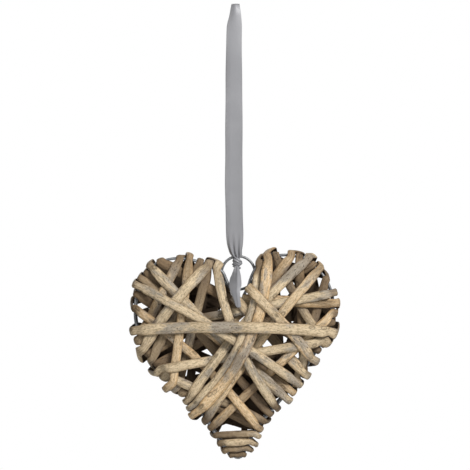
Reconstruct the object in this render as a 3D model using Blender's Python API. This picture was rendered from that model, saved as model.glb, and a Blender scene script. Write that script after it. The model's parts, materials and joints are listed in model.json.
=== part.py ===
"""Wicker heart wall decoration: split willow strips wound round a double wire heart, with a
ring in the notch and a satin ribbon loop to hang it by. Built in millimetres and scaled to
metres; the origin is at the top of the ribbon loop and the front faces -Y."""
import math

import bmesh
import bpy
import numpy as np
from mathutils import bvhtree, kdtree

METRES = 0.001

WILLOW_COLOUR = (0.34, 0.24, 0.15)
WIRE_COLOUR = (0.42, 0.42, 0.43)
SATIN_COLOUR = (0.33, 0.33, 0.36)

# Outline of the bent heart wire, seen from the front: x, z of the wire's centre, clockwise
# from the notch
NOTCH = (0, -287)
RIGHT_LEG = ((5, -277), (9.4, -268), (11.8, -260.5), (15.5, -253), (19.5, -246))
RIGHT_LOBE = ((25.5, -243), (35, -240), (44, -239), (53, -240), (62.5, -243), (71.5, -250),
              (79, -257), (84.5, -265.5), (88.5, -277), (89.5, -290), (87.5, -304), (83.5, -316))
RIGHT_SIDE = ((74, -328), (62.5, -346), (49, -364), (32.5, -383), (20, -397), (12.5, -408),
              (5.5, -421))
TIP = ((2.5, -427.5), (-2, -430), (-7.5, -427.5))
LEFT_SIDE = ((-13.5, -421), (-22.5, -408), (-31, -395), (-42.5, -378), (-62.5, -357), (-81, -336))
LEFT_LOBE = ((-92, -323), (-96, -309), (-98, -294), (-97, -279), (-93, -266), (-86, -254),
             (-78, -246), (-66, -242), (-55, -241), (-43, -243), (-31, -247))
LEFT_LEG = ((-20, -251), (-14.5, -255), (-11, -263), (-5, -276))
OUTLINE_SAMPLES = 1000

# Wire frame: two hearts, one behind the other, joined by straight struts
WIRE_DIAMETER = 2.5
FRAME_DEPTH = 26.0
WIRE_SIDES = 6
WIRE_STATIONS = 52
STRUT_STATIONS = (11.0, 24.0, 36.5, 50.0, 63.0, 76.0, 89.0)
RING_STRUT_STATIONS = (4.55, 95.35)
STRUT_SHARE = 0.94

# Willow strips
STRIP_THICKNESS = 1.6
STRIP_EDGE_SLOPE = 0.16
CLEARANCE = 0.3
LAYER_GAP = 0.4
SPAN_STEP = 20.0
FREE_END_LENGTH = 78.0
FREE_END_START = 9.0
FREE_END_STOP = 14.0
SHORTEST_END = 14.0
SIDE_SLIP = 7.0
LONGEST_INWARD_BOW = 5.0
RUNS_PER_STRIP = 4
EDGE_TAPER = 0.75
EDGE_GAP = 1.0
LONGEST_SHIFT = 13.0
STACKED_SHARE = 0.3
KEPT_CLEAR = ((0.0, 3.6), (3.25, 1.8), (5.75, 1.4), (94.25, 1.4), (96.9, 1.8))
SHORT_RUN = 24.0
EDGE_WEIGHT = 1.0e6

# Hanging ring, its plane parallel to the front
RING_OUTER_DIAMETER = 34.2
RING_WIRE_DIAMETER = 2.6
RING_CENTRE_Z = -255.5
RING_STATIONS = 32
RING_SIDES = 6

# Satin ribbon: distance down from the top of the loop, width and sideways place of its middle.
# Both runs hang from the top, one before the ring and one behind it, down to the knot.
RIBBON_THICKNESS = 0.6
RIBBON_WIDTHS = ((0.0, 7.6, 0.0), (10.0, 10.6, -0.3), (23.0, 14.3, -1.4), (50.0, 15.1, -2.0),
                 (101.0, 16.2, -2.5), (141.0, 16.4, -3.0), (174.0, 16.6, -3.4), (205.0, 16.4, -3.2),
                 (216.0, 16.4, -3.0), (227.0, 15.2, -2.9), (233.9, 12.6, -2.6), (238.0, 10.8, -1.8),
                 (240.2, 7.8, -1.1), (242.2, 4.6, -0.9), (245.0, 4.2, -0.9))
RIBBON_DEPTHS = ((0.0, 0.0), (3.0, 1.6), (10.0, 3.2), (50.0, 4.0), (160.0, 4.4), (216.0, 4.4),
                 (232.0, 3.8), (240.0, 2.6), (245.0, 1.6))

# Knot inside the ring: distance down, half width and half depth
KNOT_X = -0.8
KNOT_SIDES = 10
KNOT_LEVELS = ((242.0, 2.4, 2.0), (242.9, 3.9, 3.0), (244.4, 4.7, 3.6), (247.0, 4.7, 3.8),
               (249.6, 4.0, 3.2), (251.4, 2.6, 2.2))

# Tails under the knot, the second one shorter and behind the first: distance down, half width
# and place of the middle. They hang down in front of the strips in the notch.
TAIL_SHAPE = ((249.0, 2.4, -1.6), (256.5, 4.1, -2.2), (261.0, 5.3, -2.9), (266.5, 5.8, -3.0),
              (272.0, 4.7, -2.9), (276.5, 3.8, -2.1), (281.0, 2.9, -1.2), (285.5, 2.5, -0.5),
              (287.5, 1.4, -0.3))
TAIL_STEP = 3.2
TAIL_CREASE = 1.4
TAIL_GAP = 0.6
TAIL_SLOPE = 1.3
SECOND_TAIL_END = 276.0

# Front runs from the lowest layer to the highest: the station where the run starts, the one
# where it ends, its width, and its bow to the left of the way it runs. Stations are per cent
# of the outline's length, clockwise from the notch.
FRONT_RUNS = (
    (24.9, 61.2, 7.7, 0.0),
    (44.2, 62.8, 7.2, 0.0),
    (78.8, 37.6, 8.3, 0.0),
    (85.0, 29.5, 9.5, 0.0),
    (15.6, 69.0, 7.7, 0.0),
    (13.4, 33.4, 8.5, 0.0),
    (18.4, 35.0, 8.3, 0.0),
    (9.7, 28.0, 8.3, -3.0),
    (73.3, 20.6, 8.7, 0.0),
    (12.6, 67.0, 9.0, 12.0),
    (82.0, 41.2, 8.3, 0.0),
    (91.0, 68.6, 8.8, 0.0),
    (92.6, 63.4, 8.7, 0.0),
    (98.3, 33.8, 9.5, 0.0),
    (81.6, 36.4, 9.0, -2.0),
    (42.6, 65.2, 8.3, 0.0),
    (55.4, 23.7, 8.1, 0.0),
    (87.8, 71.7, 9.0, 0.0),
    (76.7, 44.2, 8.3, 6.4),
    (89.2, 64.4, 8.7, 0.0),
    (82.8, 37.7, 9.5, -2.0),
    (16.2, 56.8, 9.2, -4.0),
    (65.8, 27.7, 9.0, 0.0),
    (14.0, 61.3, 9.2, -6.0),
    (92.9, 70.1, 10.4, -3.8),
    (93.5, 39.8, 8.8, -8.7),
    (80.4, 35.3, 8.8, 3.8),
    (7.2, 60.4, 8.7, 15.0),
    (22.1, 1.2, 10.4, 0.0),
    (8.6, 59.2, 10.3, 15.7),
    (3.2, 31.0, 9.5, 1.9),
    (73.2, 26.3, 10.9, 4.2),
)
CUT_ENDS = ((30, 0), (28, 1), (13, 0))

# Four turns that bind the tip
TIP_TURNS = ((54.0, 44.9, 6.9, 0.0), (52.7, 46.2, 6.8, 0.0), (51.5, 47.3, 6.6, 0.0),
             (50.4, 48.3, 5.8, 0.0))
TIP_LEAD = 0.3
TIP_LAYER = 18.5

# Joining of the front runs across the back, as shares of the outline's length
SHORTEST_LINK_SHARE = 0.09
LINK_SPACING_SHARE = 0.0131
LONGEST_BESIDE_SHARE = 0.058
SHARPEST_TURN = 57.5

# Laying of the strips
SAMPLE_STEP = 2.0
CONTACT_REACH = 1.6
OWN_PATH = 20.0
EDGE_BAND = 3.0
FOLD_MARGIN = 7.0
FOLD_ROOM = 4.0
SPREAD_ROUNDS = 400
PRESSING_ROUNDS = 300
LIFTING_ROUNDS = 160
LEAST_LIFTING_ROUNDS = 100
EASING = 0.3
INWARD_SLOPE = 0.3
LEAST_SAG = 0.4


def closed_curve(points, count):
    """Smooth closed curve through the points, as evenly spaced samples, and its length."""
    knots = np.array(points, float)
    total = len(knots)
    fine = []
    for index in range(total):
        before, here = knots[index - 1], knots[index]
        after, beyond = knots[(index + 1) % total], knots[(index + 2) % total]
        for t in np.linspace(0.0, 1.0, 12, endpoint=False):
            fine.append(0.5 * (2 * here + (after - before) * t
                               + (2 * before - 5 * here + 4 * after - beyond) * t ** 2
                               + (3 * here - before - 3 * after + beyond) * t ** 3))
    loop = np.array(fine + fine[:1])
    along = np.concatenate([[0.0], np.cumsum(np.hypot(*np.diff(loop, axis=0).T))])
    even = np.linspace(0.0, along[-1], count, endpoint=False)
    samples = np.stack([np.interp(even, along, loop[:, 0]), np.interp(even, along, loop[:, 1])], 1)
    return samples, along[-1]


OUTLINE, OUTLINE_LENGTH = closed_curve(
    (NOTCH,) + RIGHT_LEG + RIGHT_LOBE + RIGHT_SIDE + TIP + LEFT_SIDE + LEFT_LOBE + LEFT_LEG,
    OUTLINE_SAMPLES)
WIRE_RADIUS = WIRE_DIAMETER / 2
BASE = WIRE_RADIUS + CLEARANCE
HALF_DEPTH = FRAME_DEPTH / 2


def outline_at(station):
    """Point, tangent and outward normal of the outline at a station."""
    place = (station % 100.0) / 100.0 * OUTLINE_SAMPLES
    first = int(place) % OUTLINE_SAMPLES
    share = place - int(place)
    point = OUTLINE[first] * (1 - share) + OUTLINE[(first + 1) % OUTLINE_SAMPLES] * share
    tangent = OUTLINE[(first + 4) % OUTLINE_SAMPLES] - OUTLINE[(first - 3) % OUTLINE_SAMPLES]
    tangent = tangent / np.hypot(*tangent)
    return point, tangent, np.array([-tangent[1], tangent[0]])


def inside_outline(point):
    after = np.roll(OUTLINE, -1, axis=0)
    spans = (OUTLINE[:, 1] > point[1]) != (after[:, 1] > point[1])
    rise = np.where(after[:, 1] == OUTLINE[:, 1], 1.0, after[:, 1] - OUTLINE[:, 1])
    cross = OUTLINE[:, 0] + (after[:, 0] - OUTLINE[:, 0]) * (point[1] - OUTLINE[:, 1]) / rise
    return int(np.count_nonzero(spans & (point[0] < cross))) % 2 == 1


def in_space(point, y):
    return np.array([point[0], y, point[1]])


class Run:
    """A strip's straight or bowed way across one face of the heart."""

    def __init__(self, start, end, width, bow):
        self.stations = (start, end)
        self.width = width
        self.bow = bow
        self.first = outline_at(start)[0]
        self.last = outline_at(end)[0]
        chord = self.last - self.first
        self.length = float(np.hypot(*chord))
        self.along = chord / self.length
        self.left = np.array([-self.along[1], self.along[0]])

    def point(self, t):
        return self.first + self.along * self.length * t + self.left * self.bow * 4 * t * (1 - t)

    def heading(self, t):
        way = self.along * self.length + self.left * self.bow * 4 * (1 - 2 * t)
        return way / np.hypot(*way)

    def outward(self, end):
        """Heading in which the strip leaves the face at one of its two ends."""
        return self.heading(1.0) if end else -self.heading(0.0)

    def reverse(self):
        return Run(self.stations[1], self.stations[0], self.width, -self.bow)


def round_the_edge(length):
    """The same length along the outline, taken the shorter way round."""
    return (length + OUTLINE_LENGTH / 2) % OUTLINE_LENGTH - OUTLINE_LENGTH / 2


def spread(stations, halves, fixed):
    """Shift strips along the edge until they lie side by side or squarely on one another, clear
    of the notch and of the places where the ring passes the legs of the notch."""
    home = np.array(stations) / 100.0 * OUTLINE_LENGTH
    place = home.copy()
    half = np.array(halves)
    free = np.array([0.0 if still else 1.0 for still in fixed])
    wanted = half[:, None] + half[None, :] + EDGE_GAP
    for _ in range(SPREAD_ROUNDS):
        apart_by = round_the_edge(place[:, None] - place[None, :])
        distance = np.abs(apart_by)
        close = (distance < wanted) & ~np.eye(len(place), dtype=bool)
        beside = close & (distance > STACKED_SHARE * wanted)
        way = np.where(apart_by >= 0, 1.0, -1.0)
        move = np.where(beside, 0.5 * way * (wanted - distance), 0.0)
        move -= np.where(close & ~beside, 0.1 * apart_by, 0.0)
        place += free * 0.3 * move.sum(axis=1)
        place += free * 0.02 * (home - place)
        place = np.clip(place, home - LONGEST_SHIFT, home + LONGEST_SHIFT)
        for station, reach in KEPT_CLEAR:
            middle = station / 100.0 * OUTLINE_LENGTH
            side = np.where(round_the_edge(home - middle) >= 0, 1.0, -1.0)
            short = np.maximum(reach + half - side * round_the_edge(place - middle), 0.0)
            place += free * side * short * (short < OUTLINE_LENGTH / 4)
    return [float(value) for value in place / OUTLINE_LENGTH * 100.0]


def slipped(station, outward):
    """Station where a strip that leaves one face reaches the other one."""
    tangent, normal = outline_at(station)[1:]
    slope = float(outward @ tangent) / max(float(outward @ normal), 0.3)
    slip = 0.5 * (FRAME_DEPTH + 2 * BASE) * slope
    return station + max(-SIDE_SLIP, min(SIDE_SLIP, slip)) / OUTLINE_LENGTH * 100.0


def turned_back(station, outward):
    """Heading of the strip on the other face, as if it were mirrored in the edge."""
    normal = outline_at(station)[2]
    way = outward - 2 * float(outward @ normal) * normal
    return way / np.hypot(*way)


def apart(first, second):
    return float(np.hypot(*(first - second)))


def length_beside(link, other):
    """Length over which one straight link keeps close to another one."""
    way = other[1] - other[0]
    length = float(np.hypot(*way))
    near = 0
    for t in np.linspace(0.0, 1.0, 41):
        offset = link[0] + (link[1] - link[0]) * t - other[0]
        along = max(0.0, min(1.0, float(offset @ way) / length ** 2))
        near += apart(offset, along * way) < LINK_SPACING_SHARE * OUTLINE_LENGTH
    return near / 41 * apart(*link)


def join_runs(rows):
    """Join the front runs into strips: each end goes on across the back to the free end that
    lies most nearly straight ahead of it."""
    runs = [Run(*row) for row in rows]
    ends = []
    for index, run in enumerate(runs):
        for end in (0, 1):
            if (index, end) not in CUT_ENDS:
                place = run.stations[end]
                ends.append((index, end, outline_at(place)[0], turned_back(place, run.outward(end))))
    choices = []
    for first in range(len(ends)):
        for second in range(first + 1, len(ends)):
            index, end, place, ahead = ends[first]
            other, other_end, other_place, other_ahead = ends[second]
            gap = other_place - place
            length = float(np.hypot(*gap))
            if index == other or length < SHORTEST_LINK_SHARE * OUTLINE_LENGTH:
                continue
            turns = [math.degrees(math.acos(max(-1.0, min(1.0, float(gap @ ahead) / length)))),
                     math.degrees(math.acos(max(-1.0, min(1.0, -float(gap @ other_ahead) / length))))]
            if max(turns) > SHARPEST_TURN:
                continue
            if all(inside_outline(place + gap * t) for t in np.linspace(0.06, 0.94, 12)):
                choices.append((sum(turns) + max(turns), first, second))
    group = list(range(len(runs)))
    laid = []
    taken = {}
    for _, first, second in sorted(choices):
        index, other = ends[first][0], ends[second][0]
        together = [g for g in group if g in (group[index], group[other])]
        if first in taken or second in taken or group[index] == group[other]:
            continue
        if len(together) > RUNS_PER_STRIP:
            continue
        sides = (ends[first][2], ends[second][2])
        if any(length_beside(sides, other) > LONGEST_BESIDE_SHARE * OUTLINE_LENGTH for other in laid):
            continue
        laid.append(sides)
        joined = group[other]
        group = [group[index] if g == joined else g for g in group]
        taken[first] = second
        taken[second] = first
    partner = {}
    for first, second in taken.items():
        partner[ends[first][:2]] = ends[second][:2]
    strips = []
    used = set()
    for index in range(len(runs)):
        for end in (0, 1):
            if index in used or (index, end) in partner:
                continue
            chain = []
            here, enter = index, end
            while True:
                used.add(here)
                chain.append((here, enter))
                onward = partner.get((here, 1 - enter))
                if onward is None:
                    break
                here, enter = onward
            strips.append(chain)
    return strips


def edge_cosine(station, outward):
    return max(0.5, float(outward @ outline_at(station)[2]))


def edge_half(width, station, outward):
    """Half of the length along the edge that a strip covers where it bends round the wire."""
    return width / 2 * EDGE_TAPER / edge_cosine(station, outward)


def place_runs(rows, fixed_rows):
    """Runs with their ends spread along the edge, and the stations where each of them reaches
    the back."""
    runs = [Run(*row) for row in rows + fixed_rows]
    still = [False] * len(rows) + [True] * len(fixed_rows)
    keys = [(index, end) for index in range(len(runs)) for end in (0, 1)]
    halves = [edge_half(runs[index].width, runs[index].stations[end], runs[index].outward(end))
              for index, end in keys]
    halves = [0.0 if key in CUT_ENDS else half for key, half in zip(keys, halves)]
    fixed = [still[index] or (index, end) in CUT_ENDS for index, end in keys]
    moved = dict(zip(keys, spread([runs[index].stations[end] for index, end in keys], halves, fixed)))
    runs = [Run(moved[index, 0], moved[index, 1], run.width, run.bow) for index, run in enumerate(runs)]
    slid = []
    for index, end in keys:
        station = runs[index].stations[end]
        slid.append(station + TIP_LEAD if still[index] else slipped(station, runs[index].outward(end)))
    landings = dict(zip(keys, spread(slid, halves, fixed)))
    return runs, landings


class Strip:
    """Sections of one wound strip: two rail points with their outward normals, the layer that
    the section belongs to, and the leg, one for each face that the strip crosses."""

    def __init__(self):
        self.rails = []
        self.layers = []
        self.legs = []
        self.on_edge = []
        self.leg = 0

    def add(self, left, right, left_normal, right_normal, layer, on_edge):
        self.rails.append((left, right, left_normal, right_normal))
        self.layers.append(layer)
        self.legs.append(self.leg)
        self.on_edge.append(on_edge)

    def flat(self, point, heading, side, width, layer):
        """Section square to the strip on the front (side -1) or the back (side 1)."""
        normal = np.array([0.0, side, 0.0])
        left = np.array([heading[1] * side, 0.0, -heading[0] * side]) * width / 2
        centre = in_space(point, side * (HALF_DEPTH + BASE))
        self.add(centre + left, centre - left, normal, normal, layer, False)

    def fold(self, station, half, angle, side, way, layer):
        """Section along the outline where the strip bends round a wire."""
        rails = []
        for sign in (-way, way):
            point, _, normal = outline_at(station + sign * half / OUTLINE_LENGTH * 100.0)
            out = np.array([normal[0] * math.sin(angle), side * math.cos(angle),
                            normal[1] * math.sin(angle)])
            rails.append((in_space(point, side * HALF_DEPTH) + out * BASE, out))
        self.add(rails[0][0], rails[1][0], rails[0][1], rails[1][1], layer, True)

    def wrap(self, width, near, near_way, far, far_way, side, layer):
        """Way over the edge, from the face on the given side to the other face."""
        slope = (far - near) / 100.0 * OUTLINE_LENGTH / FRAME_DEPTH
        middle = width / 2 * EDGE_TAPER * math.hypot(1.0, slope)
        halves = [edge_half(width, near, near_way), middle, edge_half(width, far, far_way)]
        way = -side
        for step in range(3):
            half = halves[0] + (halves[1] - halves[0]) * step / 2
            self.fold(near, half, step * math.pi / 4, side, way, layer)
        self.leg += 1
        for step in (2, 1, 0):
            half = halves[2] + (halves[1] - halves[2]) * step / 2
            self.fold(far, half, step * math.pi / 4, -side, way, layer)

    def cross(self, run, side, widths, layers):
        """Sections across a face, between the folds at both ends."""
        margins = []
        for end in (0, 1):
            slant = math.tan(math.acos(min(1.0, edge_cosine(run.stations[end], run.outward(end)))))
            margins.append(min(max(FOLD_MARGIN, run.width / 2 * slant + FOLD_ROOM), 0.35 * run.length))
        inner = run.length - sum(margins)
        count = max(1, round(inner / SPAN_STEP))
        places = [(margins[0] + inner * k / count) / run.length for k in range(count + 1)]
        if run.length < SHORT_RUN:
            places = [0.5]
        for t in places:
            eased = min(1.0, max(0.0, 2 * t - 0.5))
            self.flat(run.point(t), run.heading(t), side, widths[0] + (widths[1] - widths[0]) * t,
                      layers[0] + (layers[1] - layers[0]) * eased)

    def free_end(self, station, tail, width, layer, leaving):
        """Loose end of a strip, laid on the back and cut off before it reaches the far edge."""
        foot = outline_at(station)[0]
        length = FREE_END_LENGTH
        while length > SHORTEST_END and not inside_outline(foot + tail * (length + FREE_END_STOP)):
            length = max(SHORTEST_END, length - FREE_END_STOP / 2)
        count = max(2, round((length - FREE_END_START) / SPAN_STEP))
        places = np.linspace(FREE_END_START, length, count + 1)
        for distance in places if leaving else places[::-1]:
            self.flat(foot + tail * distance, tail if leaving else -tail, 1, width, layer)


def wind(chain, runs, landings, layers):
    """Lay one strip: front runs in order, carried over the edges and across the back."""
    strip = Strip()
    for number, (index, enter) in enumerate(chain):
        run = runs[index] if enter == 0 else runs[index].reverse()
        layer = layers[index]
        start, outward = landings[index, enter], run.outward(0)
        if number == 0 and (index, enter) in CUT_ENDS:
            strip.flat(run.point(0.0), run.heading(0.0), -1, run.width, layer)
        elif number == 0:
            tail = turned_back(start, outward)
            strip.free_end(start, tail, run.width, layer, False)
            strip.wrap(run.width, start, -tail, run.stations[0], outward, 1, layer)
        strip.cross(run, -1, (run.width, run.width), (layer, layer))
        finish, outward = landings[index, 1 - enter], run.outward(1)
        if number + 1 == len(chain) and (index, 1 - enter) in CUT_ENDS:
            strip.flat(run.point(1.0), run.heading(1.0), -1, run.width, layer)
            continue
        if number + 1 == len(chain):
            tail = turned_back(finish, outward)
            strip.wrap(run.width, run.stations[1], outward, finish, -tail, -1, layer)
            strip.free_end(finish, tail, run.width, layer, True)
            continue
        follow, follow_enter = chain[number + 1]
        onward = runs[follow] if follow_enter == 0 else runs[follow].reverse()
        landing = landings[follow, follow_enter]
        link = Run(finish, landing, (run.width + onward.width) / 2, 0.0)
        strip.wrap(run.width, run.stations[1], outward, finish, link.outward(0), -1, layer)
        strip.cross(link, 1, (run.width, onward.width), (layer, layers[follow]))
        strip.wrap(onward.width, landing, link.outward(1), onward.stations[0], onward.outward(0), 1,
                   layers[follow])
    return strip


def stiff_parts(strip):
    """Number for each section, the same for all that keep close to one bend over the edge."""
    count = len(strip.rails)
    parts = []
    for k in range(count):
        bent = [strip.on_edge[j] for j in (max(k - 1, 0), k, min(k + 1, count - 1))]
        if k == 0 or not bent[0] and (bent[2] or not bent[1]):
            parts.append(k)
        else:
            parts.append(parts[-1])
    return parts


def sample_strips(strips):
    """Fine samples between the sections of all strips, for finding where they cross."""
    samples = {"strip": [], "section": [], "share": [], "layer": [], "leg": [], "edge": [], "points": [],
               "run": [], "node": []}
    offset = 0
    for number, strip in enumerate(strips):
        run = 0.0
        parts = stiff_parts(strip)
        for k in range(len(strip.rails) - 1):
            left, right = strip.rails[k][:2]
            next_left, next_right = strip.rails[k + 1][:2]
            reach = max(np.linalg.norm(next_left - left), np.linalg.norm(next_right - right))
            middle = np.linalg.norm(next_left + next_right - left - right) / 2
            pieces = max(1, math.ceil(reach / SAMPLE_STEP))
            for piece in range(pieces):
                share = (piece + 0.5) / pieces
                samples["node"].append((offset + parts[k], offset + parts[k + 1]))
                a = left * (1 - share) + next_left * share
                b = right * (1 - share) + next_right * share
                samples["strip"].append(number)
                samples["run"].append(run + middle * share)
                samples["section"].append(offset + k)
                samples["share"].append(share)
                samples["layer"].append(strip.layers[k] * (1 - share) + strip.layers[k + 1] * share)
                samples["leg"].append((number, strip.legs[k] if share < 0.5 else strip.legs[k + 1]))
                samples["edge"].append(strip.on_edge[k] and strip.on_edge[k + 1])
                samples["points"].append([a + (b - a) * u for u in (0.06, 0.28, 0.5, 0.72, 0.94)])
            run += middle
        offset += len(strip.rails)
    return samples


def find_contacts(samples):
    """Pairs of samples, upper first, where two strips lie over each other."""
    count = len(samples["strip"])
    tree = kdtree.KDTree(count * 5)
    for index, points in enumerate(samples["points"]):
        for k, point in enumerate(points):
            tree.insert(point, index * 5 + k)
    tree.balance()
    crossings = {}
    for index, points in enumerate(samples["points"]):
        near = set()
        for point in points:
            near.update(found[1] // 5 for found in tree.find_range(point, CONTACT_REACH))
        for other in near:
            if other <= index:
                continue
            same = samples["strip"][index] == samples["strip"][other]
            if same and samples["run"][other] - samples["run"][index] < OWN_PATH:
                continue
            key = (samples["leg"][index], samples["leg"][other])
            crossings.setdefault(key, []).append((index, other))
    clusters = []
    for pairs in crossings.values():
        pairs.sort()
        cluster = [pairs[0]]
        for pair in pairs[1:] + [None]:
            if pair is not None and pair[0] - cluster[-1][0] <= 4:
                cluster.append(pair)
                continue
            balance = 0.0
            for a, b in cluster:
                weight = EDGE_WEIGHT if samples["edge"][a] and samples["edge"][b] else 1.0
                balance += weight * (samples["layer"][a] - samples["layer"][b])
            clusters.append((abs(balance), cluster if balance > 0 else [(b, a) for a, b in cluster]))
            cluster = [pair]
    return order_contacts(clusters, samples["node"])


def reaches(above, starts, goals):
    """Whether any goal lies above any start, through the contacts laid so far."""
    seen = set(starts)
    stack = list(starts)
    while stack:
        for onward in above.get(stack.pop(), ()):
            if onward in goals:
                return True
            if onward not in seen:
                seen.add(onward)
                stack.append(onward)
    return False


def order_contacts(clusters, node):
    """Lay the surest crossings first, and turn over any later one that would close a loop of
    strips, each lying on the next."""
    above = {}
    upper, lower = [], []
    for _, cluster in sorted(clusters, key=lambda entry: -entry[0]):
        over = {part for a, _ in cluster for part in node[a]}
        under = {part for _, b in cluster for part in node[b]}
        if reaches(above, over, under) and not reaches(above, under, over):
            cluster = [(b, a) for a, b in cluster]
        for a, b in cluster:
            for part in node[b]:
                above.setdefault(part, set()).update(node[a])
            upper.append(a)
            lower.append(b)
    return np.array(upper), np.array(lower)


def settle_heights(strips, samples):
    """Height of every section above the bare winding surface, with each strip clear of those
    it crosses: first the strips press on each other, then the upper ones are lifted clear."""
    upper, lower = find_contacts(samples)
    section = np.array(samples["section"])
    share = np.array(samples["share"])
    total = sum(len(strip.rails) for strip in strips)
    edge = np.concatenate([strip.on_edge for strip in strips])
    points = np.array(samples["points"])
    flat_points = points[:, :, [0, 2]].reshape(-1, 2)
    nearest = np.full(len(flat_points), 1e9)
    for start in range(0, OUTLINE_SAMPLES, 4):
        nearest = np.minimum(nearest, np.hypot(*(flat_points - OUTLINE[start]).T))
    nearest = nearest.reshape(len(points), 5).min(axis=1)
    floor = -np.clip(INWARD_SLOPE * (nearest - EDGE_BAND - WIRE_RADIUS), 0.0, LONGEST_INWARD_BOW)
    need = STRIP_THICKNESS + LAYER_GAP
    first_weight, second_weight = 1 - share, share
    norm = first_weight ** 2 + second_weight ** 2
    heights = np.zeros(total)
    starts = np.cumsum([0] + [len(strip.rails) for strip in strips])
    inner = np.ones(total, bool)
    inner[starts[:-1]] = False
    inner[starts[1:] - 1] = False
    inner_index = np.nonzero(inner)[0]
    centres = np.concatenate([[(rail[0] + rail[1]) / 2 for rail in strip.rails] for strip in strips])
    step = np.linalg.norm(np.diff(centres, axis=0), axis=1)
    groups = []
    index = 0
    while index < total:
        if edge[index]:
            groups.append(np.arange(index, index + 3))
            index += 3
        else:
            index += 1
    groups = np.array(groups)

    def height_at(which):
        here, there = heights[section[which]], heights[section[which] + 1]
        return here * first_weight[which] + there * second_weight[which]

    def push(which, amount, sign):
        change = np.zeros(total)
        scale = amount / norm[which]
        np.maximum.at(change, section[which], scale * first_weight[which])
        np.maximum.at(change, section[which] + 1, scale * second_weight[which])
        heights[:] = heights + sign * change

    def smooth(strength, only_up):
        before, after = step[inner_index - 1], step[inner_index]
        middle = heights[inner_index - 1] * after + heights[inner_index + 1] * before
        pull = middle / (before + after) - heights[inner_index]
        if only_up:
            sagging = np.maximum(pull - LEAST_SAG * np.minimum(before, after), 0.0)
            pull = sagging * ~edge[inner_index]
        else:
            pull = np.where(edge[inner_index], -heights[inner_index], pull)
        heights[inner_index] += strength * pull

    def level_edges():
        heights[groups] = np.maximum(heights[groups].max(axis=1), 0.0)[:, None]

    everything = np.arange(len(section))
    for cycle in range(PRESSING_ROUNDS):
        smooth(EASING * (1 - cycle / PRESSING_ROUNDS) ** 2, False)
        gap = need - (height_at(upper) - height_at(lower))
        clash = gap > 0
        push(upper[clash], EASING * gap[clash], 1)
        push(lower[clash], EASING * gap[clash], -1)
        low = floor - height_at(everything)
        sunk = low > 0
        push(everything[sunk], low[sunk], 1)
        level_edges()
    for cycle in range(LIFTING_ROUNDS):
        smooth(EASING, True)
        gap = need - (height_at(upper) - height_at(lower))
        clash = gap > 0
        if cycle > LEAST_LIFTING_ROUNDS and not clash.any():
            break
        push(upper[clash], gap[clash], 1)
        low = floor - height_at(everything)
        sunk = low > 0
        push(everything[sunk], low[sunk], 1)
        level_edges()
    for strip, start in zip(strips, starts):
        strip.heights = heights[start:start + len(strip.rails)]


def new_object(name, mesh, surface):
    for polygon in mesh.polygons:
        polygon.use_smooth = False
    item = bpy.data.objects.new(name, mesh)
    bpy.context.scene.collection.objects.link(item)
    mesh.materials.append(surface)
    return item


def sweep(name, sections, surface, closed=False):
    """Closed solid through a row of sections that all have the same number of corners."""
    shape = bmesh.new()
    rings = [[shape.verts.new(np.array(corner) * METRES) for corner in section] for section in sections]
    corners = len(rings[0])
    for ring, onward in zip(rings, rings[1:] + rings[:1] if closed else rings[1:]):
        for k in range(corners):
            shape.faces.new((ring[k], ring[(k + 1) % corners], onward[(k + 1) % corners], onward[k]))
    if not closed:
        shape.faces.new(rings[0][::-1])
        shape.faces.new(rings[-1])
    bmesh.ops.recalc_face_normals(shape, faces=shape.faces)
    bmesh.ops.triangulate(shape, faces=shape.faces)
    mesh = bpy.data.meshes.new(name)
    shape.to_mesh(mesh)
    shape.free()
    return new_object(name, mesh, surface)


def strip_sections(strip):
    sections = []
    for (left, right, left_normal, right_normal), height in zip(strip.rails, strip.heights):
        inset = (right - left) * STRIP_EDGE_SLOPE
        top = height + STRIP_THICKNESS
        sections.append((left + left_normal * height, right + right_normal * height,
                         right - inset + right_normal * top, left + inset + left_normal * top))
    return sections


def material(name, colour, roughness, metallic):
    surface = bpy.data.materials.new(name)
    surface.use_nodes = True
    shader = surface.node_tree.nodes["Principled BSDF"]
    shader.inputs["Base Color"].default_value = (*colour, 1.0)
    shader.inputs["Roughness"].default_value = roughness
    shader.inputs["Metallic"].default_value = metallic
    return surface


def tube_sections(path, radius, sides, closed):
    """Round sections square to a path of points."""
    sections = []
    count = len(path)
    for k, point in enumerate(path):
        before = path[(k - 1) % count] if closed or k else path[k]
        after = path[(k + 1) % count] if closed or k + 1 < count else path[k]
        way = (after - before) / np.linalg.norm(after - before)
        across = np.cross(way, (0.0, 1.0, 0.0))
        if np.linalg.norm(across) < 0.1:
            across = np.array([1.0, 0.0, 0.0])
        across = across / np.linalg.norm(across)
        second = np.cross(across, way)
        sections.append([point + radius * (math.cos(angle) * across + math.sin(angle) * second)
                         for angle in np.linspace(0.0, 2 * math.pi, sides, endpoint=False)])
    return sections


def wire_frame(surface):
    """Both heart wires and the struts between them, joined into one solid."""
    stations = np.linspace(0.0, 100.0, WIRE_STATIONS, endpoint=False)
    hearts = []
    for side in (-1, 1):
        path = [in_space(outline_at(station)[0], side * HALF_DEPTH) for station in stations]
        hearts.append(sweep("heart_wire", tube_sections(path, WIRE_RADIUS, WIRE_SIDES, True), surface,
                            True))
    reach = HALF_DEPTH + 0.3 * WIRE_RADIUS
    struts = []
    for station in STRUT_STATIONS + RING_STRUT_STATIONS:
        foot = outline_at(station)[0]
        path = [in_space(foot, -reach), in_space(foot, reach)]
        struts.append(sweep("strut", tube_sections(path, STRUT_SHARE * WIRE_RADIUS, WIRE_SIDES, False),
                            surface))
    return join_solids("wire_frame", hearts + struts)


def eased(pairs, place):
    """Value between a row of (place, value) pairs, without corners."""
    for (first, low), (second, high) in zip(pairs, pairs[1:]):
        if place <= second:
            t = (place - first) / (second - first)
            return low + (high - low) * t * t * (3 - 2 * t)
    return pairs[-1][1]


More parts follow.
